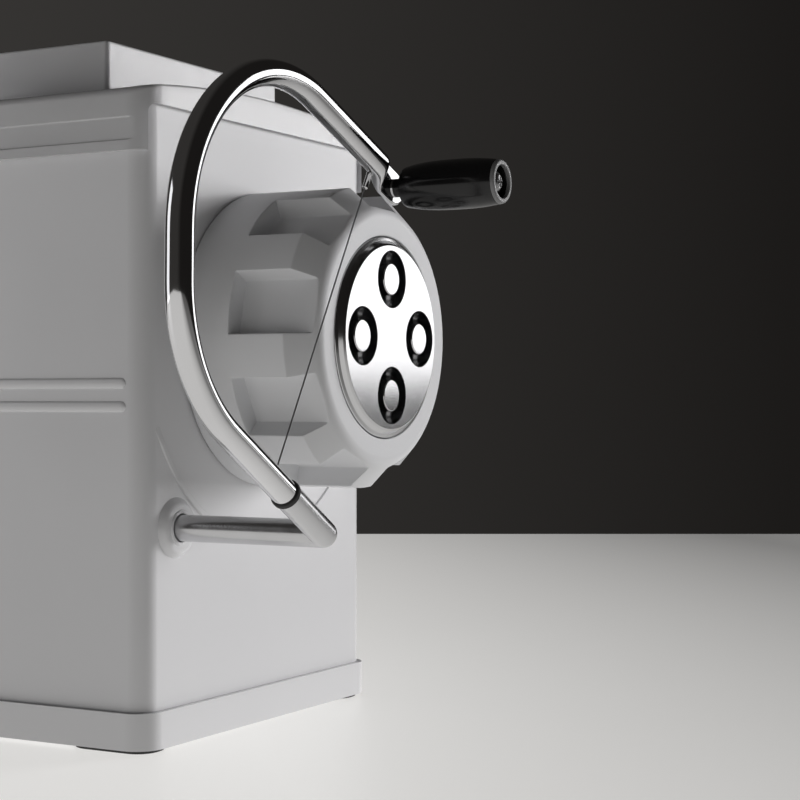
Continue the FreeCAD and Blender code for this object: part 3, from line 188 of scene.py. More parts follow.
def mouldedPlastic(name, shade, gloss, grain, coat=0.0):
    f, p = Finish(name), plastics
    broad, fine = f.noise(p["broad"], 2.0), f.noise(p["fine"], 2.0)
    smudge = f.noise(p["smudge"], 4.0, roughness=0.6)
    mask = (broad * 0.7 + smudge * 0.3).clamped()
    return f.close(dict(IOR=1.5, Coat_Weight=coat, Coat_Roughness=p["coatGloss"]),
                   Base_Color=f.tone(dulled(shade, p["dull"]), shade, mask),
                   Roughness=gloss - p["smudgeGloss"] / 2 + smudge * p["smudgeGloss"],
                   Normal=f.relief(fine, grain, f.relief(broad, p["ripple"])))


def clearPlastic(name):
    f, c = Finish(name), clear
    flow, haze = f.noise(c["flow"], 2.0, (1, 1, 3)), f.noise(c["haze"], 3.0)
    return f.close(dict(IOR=1.49, Transmission_Weight=c["seeThrough"], Specular_IOR_Level=0.5),
                   Base_Color=f.tone(c["low"], c["high"], flow), Roughness=c["gloss"] + haze * c["hazeGloss"],
                   Normal=f.relief(flow, c["ripple"]))


def brightMetal(name, shade, gloss, streak, depth):
    f, m = Finish(name), metals
    polish, cloud = f.noise(m["polish"], 4.0, streak, 0.65), f.noise(m["cloud"], 3.0)
    return f.close(dict(Metallic=1.0), Base_Color=f.tone(dulled(shade, m["dull"]), shade, cloud),
                   Roughness=gloss + polish * gloss * m["polishGloss"] + cloud * m["cloudGloss"],
                   Normal=f.relief(polish, depth))


# turned rings about the die's own axis
def turnedMetal(name):
    f, d = Finish(name), dieFace
    home = (0, 0, -place["dieZ"] * mm)
    moved = f.add("ShaderNodeMapping", {}, {"Vector": f.spot, "Location": home})
    parts = f.tree.nodes.new("ShaderNodeSeparateXYZ")
    f.join(parts.inputs[0], moved)
    x, z = Wire(f, parts.outputs[0]), Wire(f, parts.outputs[2])
    radius = (x * x + z * z) ** 0.5
    ridges = (radius * (2 * math.pi / d["pitch"])).work("SINE")
    cloud = f.noise(d["cloud"], 3.0)
    return f.close(dict(Metallic=1.0), Base_Color=f.tone(dulled(d["shade"], d["dull"]), d["shade"], cloud),
                   Roughness=d["gloss"] + cloud * d["cloudGloss"],
                   Normal=f.relief(ridges * 0.5 + f.noise(d["fine"]) * 0.5, d["grain"]))


def darkPlastic(name):
    f, g = Finish(name), gripBlack
    cloud, fine = f.noise(g["cloud"], 3.0), f.noise(g["fine"], 3.0)
    return f.close(dict(IOR=1.42, Coat_Weight=g["coat"], Coat_Roughness=g["coatGloss"]),
                   Base_Color=f.tone(g["low"], g["high"], cloud),
                   Roughness=g["gloss"] + cloud * g["cloudGloss"], Normal=f.relief(fine, g["grain"]))


def softRubber(name):
    f, r = Finish(name), rubber
    fine = f.noise(r["fine"], 4.0)
    return f.close(dict(IOR=1.5), Base_Color=f.tone(r["low"], r["high"], fine),
                   Roughness=r["gloss"] + fine * r["fineGloss"], Normal=f.relief(fine, r["grain"]))


def makeFinishes():
    p, m, even = plastics, metals, (1, 1, 1)
    return {
        "white_plastic": mouldedPlastic("whiteGloss", p["white"], p["gloss"], p["grain"], p["coat"]),
        "nut_plastic": mouldedPlastic("whiteSatin", p["nut"], p["nutGloss"], p["nutGrain"]),
        "clear_plastic": clearPlastic("milkyClear"),
        "chrome": brightMetal("brightChrome", m["chrome"], 0.045, even, 0.000006),
        "satin_chrome": brightMetal("satinChrome", m["satin"], 0.15, even, 0.00001),
        "polished_die": turnedMetal("polishedDie"),
        "steel_wire": brightMetal("drawnWire", m["wire"], 0.22, (1, 1, 0.05), 0.00001),
        "black_plastic": darkPlastic("blackGloss"),
        "grey_plastic": mouldedPlastic("greySatin", p["grey"], p["greyGloss"], p["innerGrain"]),
        "black_rubber": softRubber("blackRubber"),
        "food_plastic": mouldedPlastic("naturalWhite", p["food"], p["foodGloss"], p["innerGrain"]),
        "gear_plastic": mouldedPlastic("naturalCream", p["gear"], p["gearGloss"], p["innerGrain"]),
        "zinc_steel": brightMetal("zincPlate", m["zinc"], 0.30, (1, 1, 6), 0.00001),
        "cast_aluminium": brightMetal("castAluminium", m["aluminium"], 0.38, even, 0.00004),
        "brass": brightMetal("turnedBrass", m["brass"], 0.22, (1, 8, 1), 0.00001),
    }


finishes = makeFinishes()
print("finishes:", len(finishes))


# mesh helpers
mend = dict(weld=2e-6, sliver=1e-7, onAxis=1e-4)  # the first two in metres, onAxis in millimetres


def makePiece(name, points, faces):
    mesh = bpy.data.meshes.new(name)
    mesh.from_pydata([tuple(c * mm for c in p) for p in points], [], faces)
    piece = bpy.data.objects.new(name, mesh)
    bpy.context.scene.collection.objects.link(piece)
    clean(piece)
    return piece


def clean(piece, turn=True):
    work = bmesh.new()
    work.from_mesh(piece.data)
    bmesh.ops.remove_doubles(work, verts=work.verts, dist=mend["weld"])
    bmesh.ops.dissolve_degenerate(work, edges=work.edges, dist=mend["sliver"])
    if turn:
        bmesh.ops.recalc_face_normals(work, faces=work.faces)
    work.to_mesh(piece.data)
    work.free()


def bake(piece):
    bpy.context.view_layer.update()
    graph = bpy.context.evaluated_depsgraph_get()
    plain = bpy.data.meshes.new_from_object(piece.evaluated_get(graph), preserve_all_data_layers=True,
                                            depsgraph=graph)
    piece.modifiers.clear()
    old, piece.data = piece.data, plain
    bpy.data.meshes.remove(old)
    plain.name = piece.name


def soften(piece, width=0.0, steps=2, crease=32):
    if width:
        bevel = piece.modifiers.new("edges", "BEVEL")
        bevel.width, bevel.segments = width * mm, steps
        bevel.limit_method, bevel.angle_limit = "ANGLE", math.radians(crease)
        bevel.miter_outer = "MITER_ARC"
        bake(piece)
    piece.data.shade_smooth()
    piece.data.set_sharp_from_angle(angle=math.radians(crease))
    weigh = piece.modifiers.new("shading", "WEIGHTED_NORMAL")
    weigh.keep_sharp = True
    bake(piece)


def cutWith(piece, *cutters, way="DIFFERENCE"):
    for cutter in cutters:
        knife = piece.modifiers.new("cut", "BOOLEAN")
        knife.operation, knife.solver, knife.object = way, "EXACT", cutter
        bake(piece)
    for cutter in cutters:
        bpy.data.objects.remove(cutter)
    clean(piece, turn=False)


def finishPiece(piece, body, slotName, *replaced, look=None):
    piece.data.materials.clear()
    piece.data.materials.append(finishes[look or slotName])
    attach(piece, body)
    if replaced:
        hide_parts(*replaced)


# rounds the corners of a line of (a, b, radius); a round takes less than half of each side beside it
def softLine(corners, closed=True, steps=5, most=0.49):
    line = []
    count = len(corners)
    for i, (a, b, radius) in enumerate(corners):
        here = Vector((a, b))
        if radius <= 0 or (not closed and i in (0, count - 1)):
            line.append(here)
            continue
        back = Vector(corners[i - 1][:2]) - here
        on = Vector(corners[(i + 1) % count][:2]) - here
        opening = back.angle(on)
        run = min(radius / math.tan(opening / 2), back.length * most, on.length * most)
        bend = run * math.tan(opening / 2)
        middle = here + (back.normalized() + on.normalized()).normalized() * (bend / math.sin(opening / 2))
        first, last = here + back.normalized() * run - middle, here + on.normalized() * run - middle
        sweep = first.angle_signed(last)
        for k in range(steps + 1):
            line.append(middle + Matrix.Rotation(-sweep * k / steps, 2) @ first)
    return line


# joins rings of points into a skin; a ring of no radius is one point on the axis
def skinRound(name, line, spotAt, closed, segments):
    points, faces, rows = [], [], []
    for radius, along in line:
        if radius < mend["onAxis"]:
            rows.append([len(points)] * segments)
            points.append(spotAt(0, 0, along))
            continue
        rows.append(list(range(len(points), len(points) + segments)))
        for k in range(segments):
            t = 2 * math.pi * k / segments
            points.append(spotAt(radius * math.cos(t), radius * math.sin(t), along))
    for i in range(len(rows) if closed else len(rows) - 1):
        low, high = rows[i], rows[(i + 1) % len(rows)]
        for k in range(segments):
            after = (k + 1) % segments
            corner = list(dict.fromkeys((low[k], low[after], high[after], high[k])))
            if len(corner) > 2:
                faces.append(corner)
    return makePiece(name, points, faces)


# turns a line of (radius, y) about an axis along Y
def lathe(name, line, centre, closed, segments):
    def spotAt(across, up, y):
        return centre[0] + across, y, centre[1] + up

    return skinRound(name, line, spotAt, closed, segments)


# turns a line of (radius, distance) about any axis
def rodAlong(name, line, start, way, segments=64):
    start, way = Vector(start), Vector(way).normalized()
    turn = Vector((0, 0, 1)).rotation_difference(way).to_matrix()

    def spotAt(across, up, along):
        return tuple(start + turn @ Vector((across, up, along)))

    return skinRound(name, line, spotAt, False, segments)


# joins loops of equal length; closed runs the last loop back into the first, else both ends are capped
def stack(name, loops, closed=False):
    points = [p for loop in loops for p in loop]
    count = len(loops[0])
    faces = []
    for i in range(len(loops) if closed else len(loops) - 1):
        low, high = i * count, ((i + 1) % len(loops)) * count
        faces += [(low + k, low + (k + 1) % count, high + (k + 1) % count, high + k) for k in range(count)]
    if not closed:
        faces += [tuple(range(count)), tuple(range((len(loops) - 1) * count, len(loops) * count))]
    return makePiece(name, points, faces)


# a rounded rectangle as (x, y, outward x, outward y)
def rectLoop(halfX, halfY, radius, cornerSteps, alongX, alongY):
    loop = []
    runX, runY = 2 * (halfX - radius), 2 * (halfY - radius)
    # each corner's sides and first angle, then the straight run after it and its steps
    corners = ((1, -1, -90, (0, runY), alongY), (1, 1, 0, (-runX, 0), alongX),
               (-1, 1, 90, (0, -runY), alongY), (-1, -1, 180, (runX, 0), alongX))
    for sx, sy, start, run, steps in corners:
        for k in range(cornerSteps + 1):
            t = math.radians(start + 90 * k / cornerSteps)
            c, s = math.cos(t), math.sin(t)
            loop.append((sx * (halfX - radius) + radius * c, sy * (halfY - radius) + radius * s, c, s))
        x, y, c, s = loop[-1]
        loop += [(x + run[0] * k / steps, y + run[1] * k / steps, c, s) for k in range(1, steps)]
    return loop


squareCorners = ((-1, -1), (1, -1), (1, 1), (-1, 1))


# sets a rounded rectangle at a height
def flat(loop, z):
    return [(x, y, z) for x, y, _, _ in loop]


# node trees: a tree with named inputs and a mesh in and out, and the modifier that runs it
def makeTree(name, **inputs):
    tree = bpy.data.node_groups.new(name, "GeometryNodeTree")
    for label, kind in dict(Geometry="NodeSocketGeometry", **inputs).items():
        tree.interface.new_socket(name=label, in_out="INPUT", socket_type=kind)
    tree.interface.new_socket(name="Geometry", in_out="OUTPUT", socket_type="NodeSocketGeometry")
    net = Net(tree)
    entry = tree.nodes.new("NodeGroupInput")
    return tree, net, {socket.name: Wire(net, socket) for socket in entry.outputs if socket.name}


def closeTree(net, copies, given, weld=None):
    solid = net.add("GeometryNodeRealizeInstances", {}, [copies])
    if weld:
        solid = net.add("GeometryNodeMergeByDistance", {}, {"Geometry": solid, "Distance": weld})
    dressed = net.add("GeometryNodeSetMaterial", {}, {"Geometry": solid, "Material": given["Finish"]})
    net.add("NodeGroupOutput", {}, [dressed])


def runTree(piece, tree, **values):
    modifier = piece.modifiers.new("copies", "NODES")
    modifier.node_group = tree
    for item in tree.interface.items_tree:
        if item.in_out == "INPUT" and item.name in values:
            modifier[item.identifier] = values[item.name]
    bake(piece)


# copies turned round an axis along Y, welded where they meet
def roundTree():
    tree, net, given = makeTree("copiesRound", Copies="NodeSocketInt", Centre="NodeSocketVector",
                                Weld="NodeSocketFloat", Finish="NodeSocketMaterial")
    angle = net.add("GeometryNodeInputIndex") * (2 * math.pi) / given["Copies"]
    turn = net.add("ShaderNodeCombineXYZ", {}, {"Y": angle})
    back = net.add("ShaderNodeVectorMath", dict(operation="SCALE"), {0: given["Centre"], 3: -1.0})
    home = net.add("GeometryNodeTransform", {}, {"Geometry": given["Geometry"], "Translation": back})
    dots = net.add("GeometryNodePoints", {}, {"Count": given["Copies"], "Position": given["Centre"]})
    copies = net.add("GeometryNodeInstanceOnPoints", {}, {"Points": dots, "Instance": home, "Rotation": turn})
    closeTree(net, copies, given, given["Weld"])
    return tree


aroundAxis = roundTree()


def copyRound(piece, copies, centre, finish, weld):
    runTree(piece, aroundAxis, Copies=copies, Centre=(centre[0] * mm, 0, centre[1] * mm), Weld=weld * mm,
            Finish=finish)


# housing: outer and inner wall in one closed shell, with its bead lines and the crank's boss
housing = dict(halfX=80, halfY=90, corner=8, wall=3, low=15.2, high=238.6, noseHole=46.1, shaftHole=7.75,
               cutReach=5, edge=0.45, beadLevels=(135.9, 127.3), beadHeight=4.0, beadProud=0.9, beadEnd=8.5,
               beadSunk=0.05, ringRadius=80, ringWidth=2.6, ringProud=0.7, ringShoulder=0.3, ringFlat=0.72,
               ringRoot=0.15, ringEdge=0.12, ringFrom=205.5, ringTo=334.5)
boss = dict(outer=11.4, shoulder=9.2, proud=2.6, collar=6.8, collarProud=3.0, mouth=5.35, deep=6.0, root=7.55)


def plug(name, radius, y0, y1, centre):
    return lathe(name, [(0, y0), (radius, y0), (radius, y1), (0, y1)], centre, False, 96)


def makeHousing():
    h = housing
    shell = []
    inside = h["corner"] - h["wall"]
    for inset, corner, z in ((0, h["corner"], h["low"]), (0, h["corner"], h["high"]),
                             (h["wall"], inside, h["high"]), (h["wall"], inside, h["low"])):
        loop = rectLoop(h["halfX"] - inset, h["halfY"] - inset, corner, cornerSteps=12, alongX=1, alongY=1)
        shell.append(flat(loop, z))
    piece = stack("housingShell", shell, closed=True)
    y0, y1 = place["faceY"] - h["cutReach"], place["faceY"] + h["cutReach"]
    cutWith(piece, plug("noseCut", h["noseHole"], y0, y1, (0, place["dieZ"])),
            plug("shaftCut", h["shaftHole"], y0, y1, (place["shaftX"], place["shaftZ"])))
    soften(piece, h["edge"], steps=3)
    finishPiece(piece, "machine", "white_plastic", "housing")


# each bead is the outer half of a bar along the side, and rounds off over half its height at both ends
def makeBeads(middle=6, around=20, thinnest=0.02):
    h = housing
    end, half = h["halfY"] - h["beadEnd"], h["beadHeight"] / 2
    turns = [math.radians(a) for a in range(0, 91, 10)]
    rounded = [(-end + half * (1 - math.cos(t)), max(math.sin(t), thinnest)) for t in turns]
    straight = [(-end + half + (2 * end - 2 * half) * k / middle, 1.0) for k in range(1, middle)]
    stations = rounded + straight + [(-y, swell) for y, swell in reversed(rounded)]
    circle = [2 * math.pi * k / around for k in range(around)]
    beads = [(side, level) for side in (-1, 1) for level in h["beadLevels"]]
    for number, (side, level) in enumerate(beads):
        loops = []
        for y, swell in stations:
            loops.append([(side * (h["halfX"] - h["beadSunk"] + h["beadProud"] * swell * math.cos(t)), y,
                           level + half * swell * math.sin(t)) for t in circle])
        bead = stack(f"sideBead{number}", loops)
        soften(bead)
        finishPiece(bead, "machine", "white_plastic")


# the raised ring line on the front, a low band with rounded edges that fades out at its ends
def makeRingLine(steps=72, fadeSteps=3, lowest=0.05):
    h = housing
    loops = []
    half = h["ringWidth"] / 2
    top = half * h["ringFlat"]
    section = [(-half, h["ringRoot"]), (-half, -h["ringShoulder"]), (-top, -h["ringProud"]),
               (top, -h["ringProud"]), (half, -h["ringShoulder"]), (half, h["ringRoot"])]
    for k in range(steps + 1):
        t = math.radians(h["ringFrom"] + (h["ringTo"] - h["ringFrom"]) * k / steps)
        fade = max(min(k, steps - k, fadeSteps) / fadeSteps, lowest)
        loop = []
        for across, deep in section:
            radius = h["ringRadius"] + across
            loop.append((radius * math.cos(t), place["faceY"] + (deep if deep > 0 else deep * fade),
                         place["dieZ"] + radius * math.sin(t)))
        loops.append(loop)
    piece = stack("frontRingLine", loops)
    soften(piece, h["ringEdge"])
    finishPiece(piece, "machine", "white_plastic")


def makeBoss():
    b, face = boss, place["faceY"]
    front, collar = face - b["proud"], face - b["collarProud"]
    line = softLine([(b["root"], face + b["deep"], 0), (b["outer"], face + 0.2, 0),
                     (b["outer"], face - 0.05, 0), (b["shoulder"], front, 2.6), (b["collar"], front, 0.15),
                     (b["collar"] - 0.2, collar, 0.35), (b["mouth"], collar, 0.3),
                     (b["mouth"], face + b["deep"], 0)])
    piece = lathe("crankBoss", line, (place["shaftX"], place["shaftZ"]), True, 72)
    soften(piece)
    finishPiece(piece, "machine", "white_plastic")


makeHousing()
makeBeads()
makeRingLine()
makeBoss()
print("housing: done")


# lid: one clear moulding, from the skirts over the crowned top to the feed chute and back inside
lid = dict(halfX=82.2, halfY=92.2, corner=10.2, wall=1.8, low=221.2, band=3.6, step=233.6, stepIn=0.7,
           stepEase=0.5, stepFade=0.8, stepEnd=85.5, sideways=0.3, edge=244.6, crown=5.8, sideRound=3.4,
           frontRound=1.0, seat=241.0, rim=4, chuteX=60, chuteY=57.5, chuteCorner=1.9, chuteWall=2.4,
           chuteFoot=0.9, chuteTop=267.5, lipFlat=0.8, mouthX=46, mouthY=44, mouthCorner=2.0, legX=78,
           legFrom=200, frontLow=238.5, frontRadius=3.0, cutOut=4, cutIn=8, softEdge=0.3)


def lidTop(x):
    return lid["edge"] + lid["crown"] * (1 - (x / lid["halfX"]) ** 2)


# a loop some way from one outline to the next, on the crowned top or below it
def crownLoop(inner, outer, share, below=0.0):
    loop = []
    for a, b in zip(inner, outer):
        x, y = (a[i] + (b[i] - a[i]) * share for i in (0, 1))
        loop.append((x, y, lidTop(x) - below))
    return loop


def makeLid():
    p = lid

    def ring(halfX, halfY, corner):
        return rectLoop(halfX, halfY, corner, cornerSteps=8, alongX=24, alongY=30)

    def body(run):
        return ring(p["halfX"] - run, p["halfY"] - run, p["corner"] - run)

    def chute(run):
        return ring(p["chuteX"] - run, p["chuteY"] - run, p["chuteCorner"] - run)

    outer = body(0)

    # the sides step in between the band and the shoulder, and the step fades out before the corners
    def recess(y, nx):
        ease = min(max((p["stepEnd"] - abs(y)) / p["stepFade"], 0), 1)
        return p["stepIn"] * ease * (abs(nx) > p["sideways"])

    band = p["low"] + p["band"]
    loops = [flat(outer, p["low"])]
    for z, cut in ((band, 0), (band + p["stepEase"], 1), (p["step"] - p["stepEase"], 1), (p["step"], 0)):
        loops.append([(x - nx * cut * recess(y, nx), y, z) for x, y, nx, _ in outer])
    for k in range(7):
        t = math.radians(90 * k / 6)
        loop = []
        for x, y, nx, ny in outer:
            size = p["sideRound"] * nx * nx + p["frontRound"] * ny * ny
            loop.append((x - nx * size * (1 - math.cos(t)), y - ny * size * (1 - math.cos(t)),
                         lidTop(x) - size * (1 - math.sin(t))))
        loops.append(loop)
    edge, foot = loops[-1], chute(0)
    loops += [crownLoop(edge, foot, share) for share in (0.25, 0.5, 0.75, 0.96)]
    loops.append([(x, y, lidTop(x) + p["chuteFoot"]) for x, y, _, _ in foot])
    half = p["chuteWall"] / 2
    lip = half * p["lipFlat"]
    for a in range(0, 181, 30):
        t = math.radians(a)
        loops.append(flat(chute(half * (1 - math.cos(t))), p["chuteTop"] - lip + lip * math.sin(t)))
    ledge = p["edge"] + p["crown"]
    mouth = ring(p["mouthX"], p["mouthY"], p["mouthCorner"])
    under, inner = body(p["rim"]), body(p["wall"])
    loops += [flat(chute(p["chuteWall"]), ledge), flat(mouth, ledge),
              [(x, y, lidTop(x) - p["wall"]) for x, y, _, _ in mouth]]
    loops += [crownLoop(mouth, under, share, p["wall"]) for share in (0.33, 0.66, 1.0)]
    loops += [flat(under, p["seat"]), flat(inner, p["seat"]), flat(inner, p["low"])]
    piece = stack("lidShell", loops, closed=True)
    for side in (-1, 1):
        x, z = p["legX"], p["frontLow"]
        outline = softLine([(-x, p["legFrom"], 0), (x, p["legFrom"], 0), (x, z, p["frontRadius"]),
                            (-x, z, p["frontRadius"])], steps=6)
        depths = side * (p["halfY"] + p["cutOut"]), side * (p["halfY"] - p["cutIn"])
        cutWith(piece, stack("skirtCut", [[(a, y, b) for a, b in outline] for y in depths]))
    soften(piece, p["softEdge"], crease=40)
    finishPiece(piece, "lid", "clear_plastic", "lid")


makeLid()
print("lid: done")


# ring nut: one rib's share of the turned form, set round the axis by the node tree
ringNut = dict(ribs=9, ribAt=188.0, ribHalf=8.16, wallTurn=0.42, edge=0.5, depth=8.5, radius=58.5, rear=0.4,
               recessAt=22.0, wallRun=0.25, floor=50.0, facetAt=46.0, rimRadius=48.63, rimRound=6.0,
               front=56.2, opening=39.3, lipBack=50.0, bore=46.0, weld=0.02,
               # stations along the wall, down the facet and across a rib, closest where the form turns
               behind=(5, 12, 18), ahead=(26, 31, 36, 41), ribTurns=(0, 3, 6), floorTurns=(11, 13.5, 16, 18),
               facet=(57.2, 55.8, 54.4, 53, 52, 51.4, 51.05, 50.8, 50.55, 50.3, 50.1))


# how far a recess has opened on the way over its rounded upper edge, its wall and its rounded lower edge
def wallSteps(start, run, edge, depth):
    steps = []
    for a in (0, 30, 60, 90):
        rise, drop = math.sin(math.radians(a)), 1 - math.cos(math.radians(a))
        steps.append((start - edge + edge * rise, edge * drop / depth))
        steps.append((start + run + edge - edge * rise, 1 - edge * drop / depth))
    return sorted(steps)


def opened(steps, at):
    if at <= steps[0][0]:
        return 0.0
    for (a, low), (b, high) in zip(steps, steps[1:]):
        if at <= b:
            return low + (high - low) * (at - a) / (b - a)
    return 1.0


# the section of a rib as (radius, depth), with the extra stations that the recesses need
def nutSection(along):
    n = ringNut
    outside = softLine([(n["bore"], n["rear"], 0), (n["radius"], n["rear"], 1.2),
                        (n["radius"], n["facetAt"], 1.2), (n["rimRadius"], n["front"], n["rimRound"]),
                        (n["opening"], n["front"], 0.6), (n["opening"], n["lipBack"], 0.3)],
                       closed=False, steps=6)
    line = []
    # the wall is the long run forwards, and the facet the long run that slants inwards
    for a, b in zip(outside, outside[1:]):
        line.append(a)
        inward, forward = a[0] - b[0], b[1] - a[1]
        if abs(inward) < 1e-6 and forward > 10:
            line += [Vector((a[0], d)) for d in (*n["behind"], *(at for at, _ in along), *n["ahead"])]
        elif inward > 3 and forward > 3:
            line += [a.lerp(b, (a[0] - r) / inward) for r in n["facet"] if b[0] + 0.1 < r < a[0] - 0.1]
    return line + [outside[-1], Vector((n["bore"], n["lipBack"]))]


def makeRingNut():
    n = ringNut
    face, pitch = place["faceY"], 360 / n["ribs"]
    degree = 180 / math.pi / n["radius"]  # what a millimetre takes up on the outside
    across = wallSteps(n["ribHalf"], n["wallTurn"], n["edge"] * degree, n["depth"] * degree)
    along = wallSteps(n["recessAt"], n["wallRun"], n["edge"], n["depth"])
    line = nutSection(along)
    turns = [*n["ribTurns"], *(at for at, _ in across), *n["floorTurns"], pitch / 2]
    loops = []
    for turn in sorted({-t for t in turns} | set(turns)):
        share = opened(across, abs(turn))
        bottom = n["floor"] / math.cos(math.radians(pitch / 2 - abs(turn)))
        t = math.radians(n["ribAt"] + turn)
        row = []
        for radius, d in line:
            sunk = radius - max(radius - bottom, 0) * share * opened(along, d)
            row.append((sunk * math.cos(t), face - d, place["dieZ"] + sunk * math.sin(t)))
        loops.append(row)
    count = len(line)
    points = [p for row in loops for p in row]
    faces = []
    for low, high in ((i * count, (i + 1) * count) for i in range(len(loops) - 1)):
        faces += [(low + k, low + (k + 1) % count, high + (k + 1) % count, high + k) for k in range(count)]
    piece = makePiece("ringNutShell", points, faces)
    copyRound(piece, n["ribs"], (0, place["dieZ"]), finishes["nut_plastic"], n["weld"])
    clean(piece)
    soften(piece, crease=42)
    finishPiece(piece, "ring_nut", "nut_plastic", "ring_nut")


makeRingNut()
print("ring nut: done")


# die with its four holes, and the cores in them
die = dict(back=45.2, flange=49.8, flangeRadius=44.5, bossRadius=38.9, shelf=56.2, edge=58.15, face=58.8,
           shelfRadius=37.4, faceRadius=36.0, holes=4, holeRadius=11.2, circle=22.5, coreRadius=6.2,
           rimRadius=13.0, spider=3.2, arm=3.0, armOver=0.9, cutOver=2, sunk=0.1, ringGap=0.02,
           holeEdge=0.25, coreEdge=0.15, weld=0.0001)


def makeDie():
    d, face = die, place["faceY"]
    back, flange, shelf = face - d["back"], face - d["flange"], face - d["shelf"]
    line = softLine([(0, back, 0), (d["flangeRadius"], back, 0.4), (d["flangeRadius"], flange, 0.4),
                     (d["bossRadius"], flange, 0.2), (d["bossRadius"], shelf, 0.5),
                     (d["shelfRadius"], shelf - 0.5, 0.3), (d["faceRadius"] + 0.3, face - d["edge"], 0.3),
                     (d["faceRadius"] - 0.5, face - d["face"], 0.4), (0, face - d["face"], 0)],
                    closed=False, steps=4)
    disc = lathe("dieDisc", line, (0, place["dieZ"]), False, 128)
    front, step, behind = face - d["face"] - d["cutOver"], back - d["spider"], back + d["cutOver"]
    hole = [(0, front), (d["holeRadius"], front), (d["holeRadius"], step), (d["rimRadius"], step),
            (d["rimRadius"], behind), (0, behind)]
    cutters = []
    for k in range(d["holes"]):
        t = 2 * math.pi * k / d["holes"]
        centre = (d["circle"] * math.cos(t), place["dieZ"] + d["circle"] * math.sin(t))
        cutters.append(lathe(f"holeCut{k}", hole, centre, False, 72))
    cutWith(disc, *cutters)
    soften(disc, d["holeEdge"], crease=40)
    finishPiece(disc, "die_set", "polished_die", "die")


def makeCores():
    d, face = die, place["faceY"]
    centre = (d["circle"], place["dieZ"])
    back, tip = face - d["back"], face - d["face"] + d["sunk"]
    step, rim = back - d["spider"], d["rimRadius"] - d["ringGap"]
    pinLine = softLine([(0, back, 0), (d["coreRadius"], back, 0.3), (d["coreRadius"], tip, 0.5), (0, tip, 0)],
                       closed=False, steps=4)
    ringLine = softLine([(d["holeRadius"], back, 0.2), (rim, back, 0.2), (rim, step, 0.2),
                         (d["holeRadius"], step, 0.2)], steps=2)
    pin = lathe("dieCores", pinLine, centre, False, 56)
    ring = lathe("coreRing", ringLine, centre, True, 56)
    arms = []
    reach, half = d["holeRadius"] + d["armOver"], d["arm"] / 2
    for wide, tall in ((reach, half), (half, reach)):
        corners = [(centre[0] + sx * wide, centre[1] + sz * tall) for sx, sz in squareCorners]
        arms.append(stack("coreArm", [[(x, y, z) for x, z in corners]
                                      for y in (back - d["sunk"], step + d["sunk"])]))
    cutWith(pin, ring, *arms, way="UNION")
    soften(pin, d["coreEdge"], crease=40)
    copyRound(pin, d["holes"], (0, place["dieZ"]), finishes["polished_die"], d["weld"])
    finishPiece(pin, "die_set", "polished_die", "die_cores")


makeDie()
makeCores()
print("die: done")


# crank: shaft and elbow, seal, bowed arm, wire
crank = dict(plane=64.2, shaft=5.0, shaftTail=27, tube=4.8, legTurn=148.5, legRun=103.0, sideTurn=89.2,
             sideRun=132.7, topTurn=-21.7, topRun=154.9, lowBend=56.4, highBend=58.6, elbowLeg=28.0,
             sealWidth=2.4, sealProud=0.7, sealHole=3.0, padHalf=6.6, padFrom=59.6, padTo=61.8, padRun=9.0,
             padRamp=11.0, padSquare=3.0, thinnest=0.02, fineRun=26)
wire = dict(radius=0.3, plane=60.7, lowAt=34.0, highAt=18.0, ferrule=1.1, ferruleFrom=1.5, tip=0.3,
            tipProud=0.1, lowProud=2.2, highProud=5.4)


def heading(turn):
    return Vector((math.cos(math.radians(turn)), math.sin(math.radians(turn))))


def easeStep(t):
    t = min(max(t, 0), 1)
    return t * t * (3 - 2 * t)


# the arm's centre line as (spot, heading), from the seal over both bends to the pad's rounded end
def crankPath(step=6.0, bendSteps=34):
    c = crank
    start = Vector((place["shaftX"], place["shaftZ"]))
    low = start + heading(c["legTurn"]) * c["legRun"]
    high = low + heading(c["sideTurn"]) * c["sideRun"]
    forward = heading(c["topTurn"])
    end = high + forward * c["topRun"]
    stations = []

    def straight(a, b, turn):
        count = max(int((b - a).length / step), 1)
        stations.extend((a.lerp(b, k / count), turn) for k in range(count))

    here = start + heading(c["legTurn"]) * (c["elbowLeg"] + c["sealWidth"])
    for corner, before, after, bend in ((low, c["legTurn"], c["sideTurn"], c["lowBend"]),
                                        (high, c["sideTurn"], c["topTurn"], c["highBend"])):
        back = bend * math.tan(math.radians(before - after) / 2)
        first = corner - heading(before) * back
        straight(here, first, before)
        middle = first + heading(before - 90) * bend
        for k in range(bendSteps):
            turn = before + (after - before) * k / bendSteps
            stations.append((middle + heading(turn + 90) * bend, turn))
        here = corner + heading(after) * back
    fine = end - forward * c["fineRun"]
    straight(here, fine, c["topTurn"])
    stations += [(fine + forward * k, c["topTurn"]) for k in range(c["fineRun"] + 1)]
    for a in range(10, 91, 8):
        stations.append((end + forward * c["padHalf"] * math.sin(math.radians(a)), c["topTurn"]))
    return stations, end


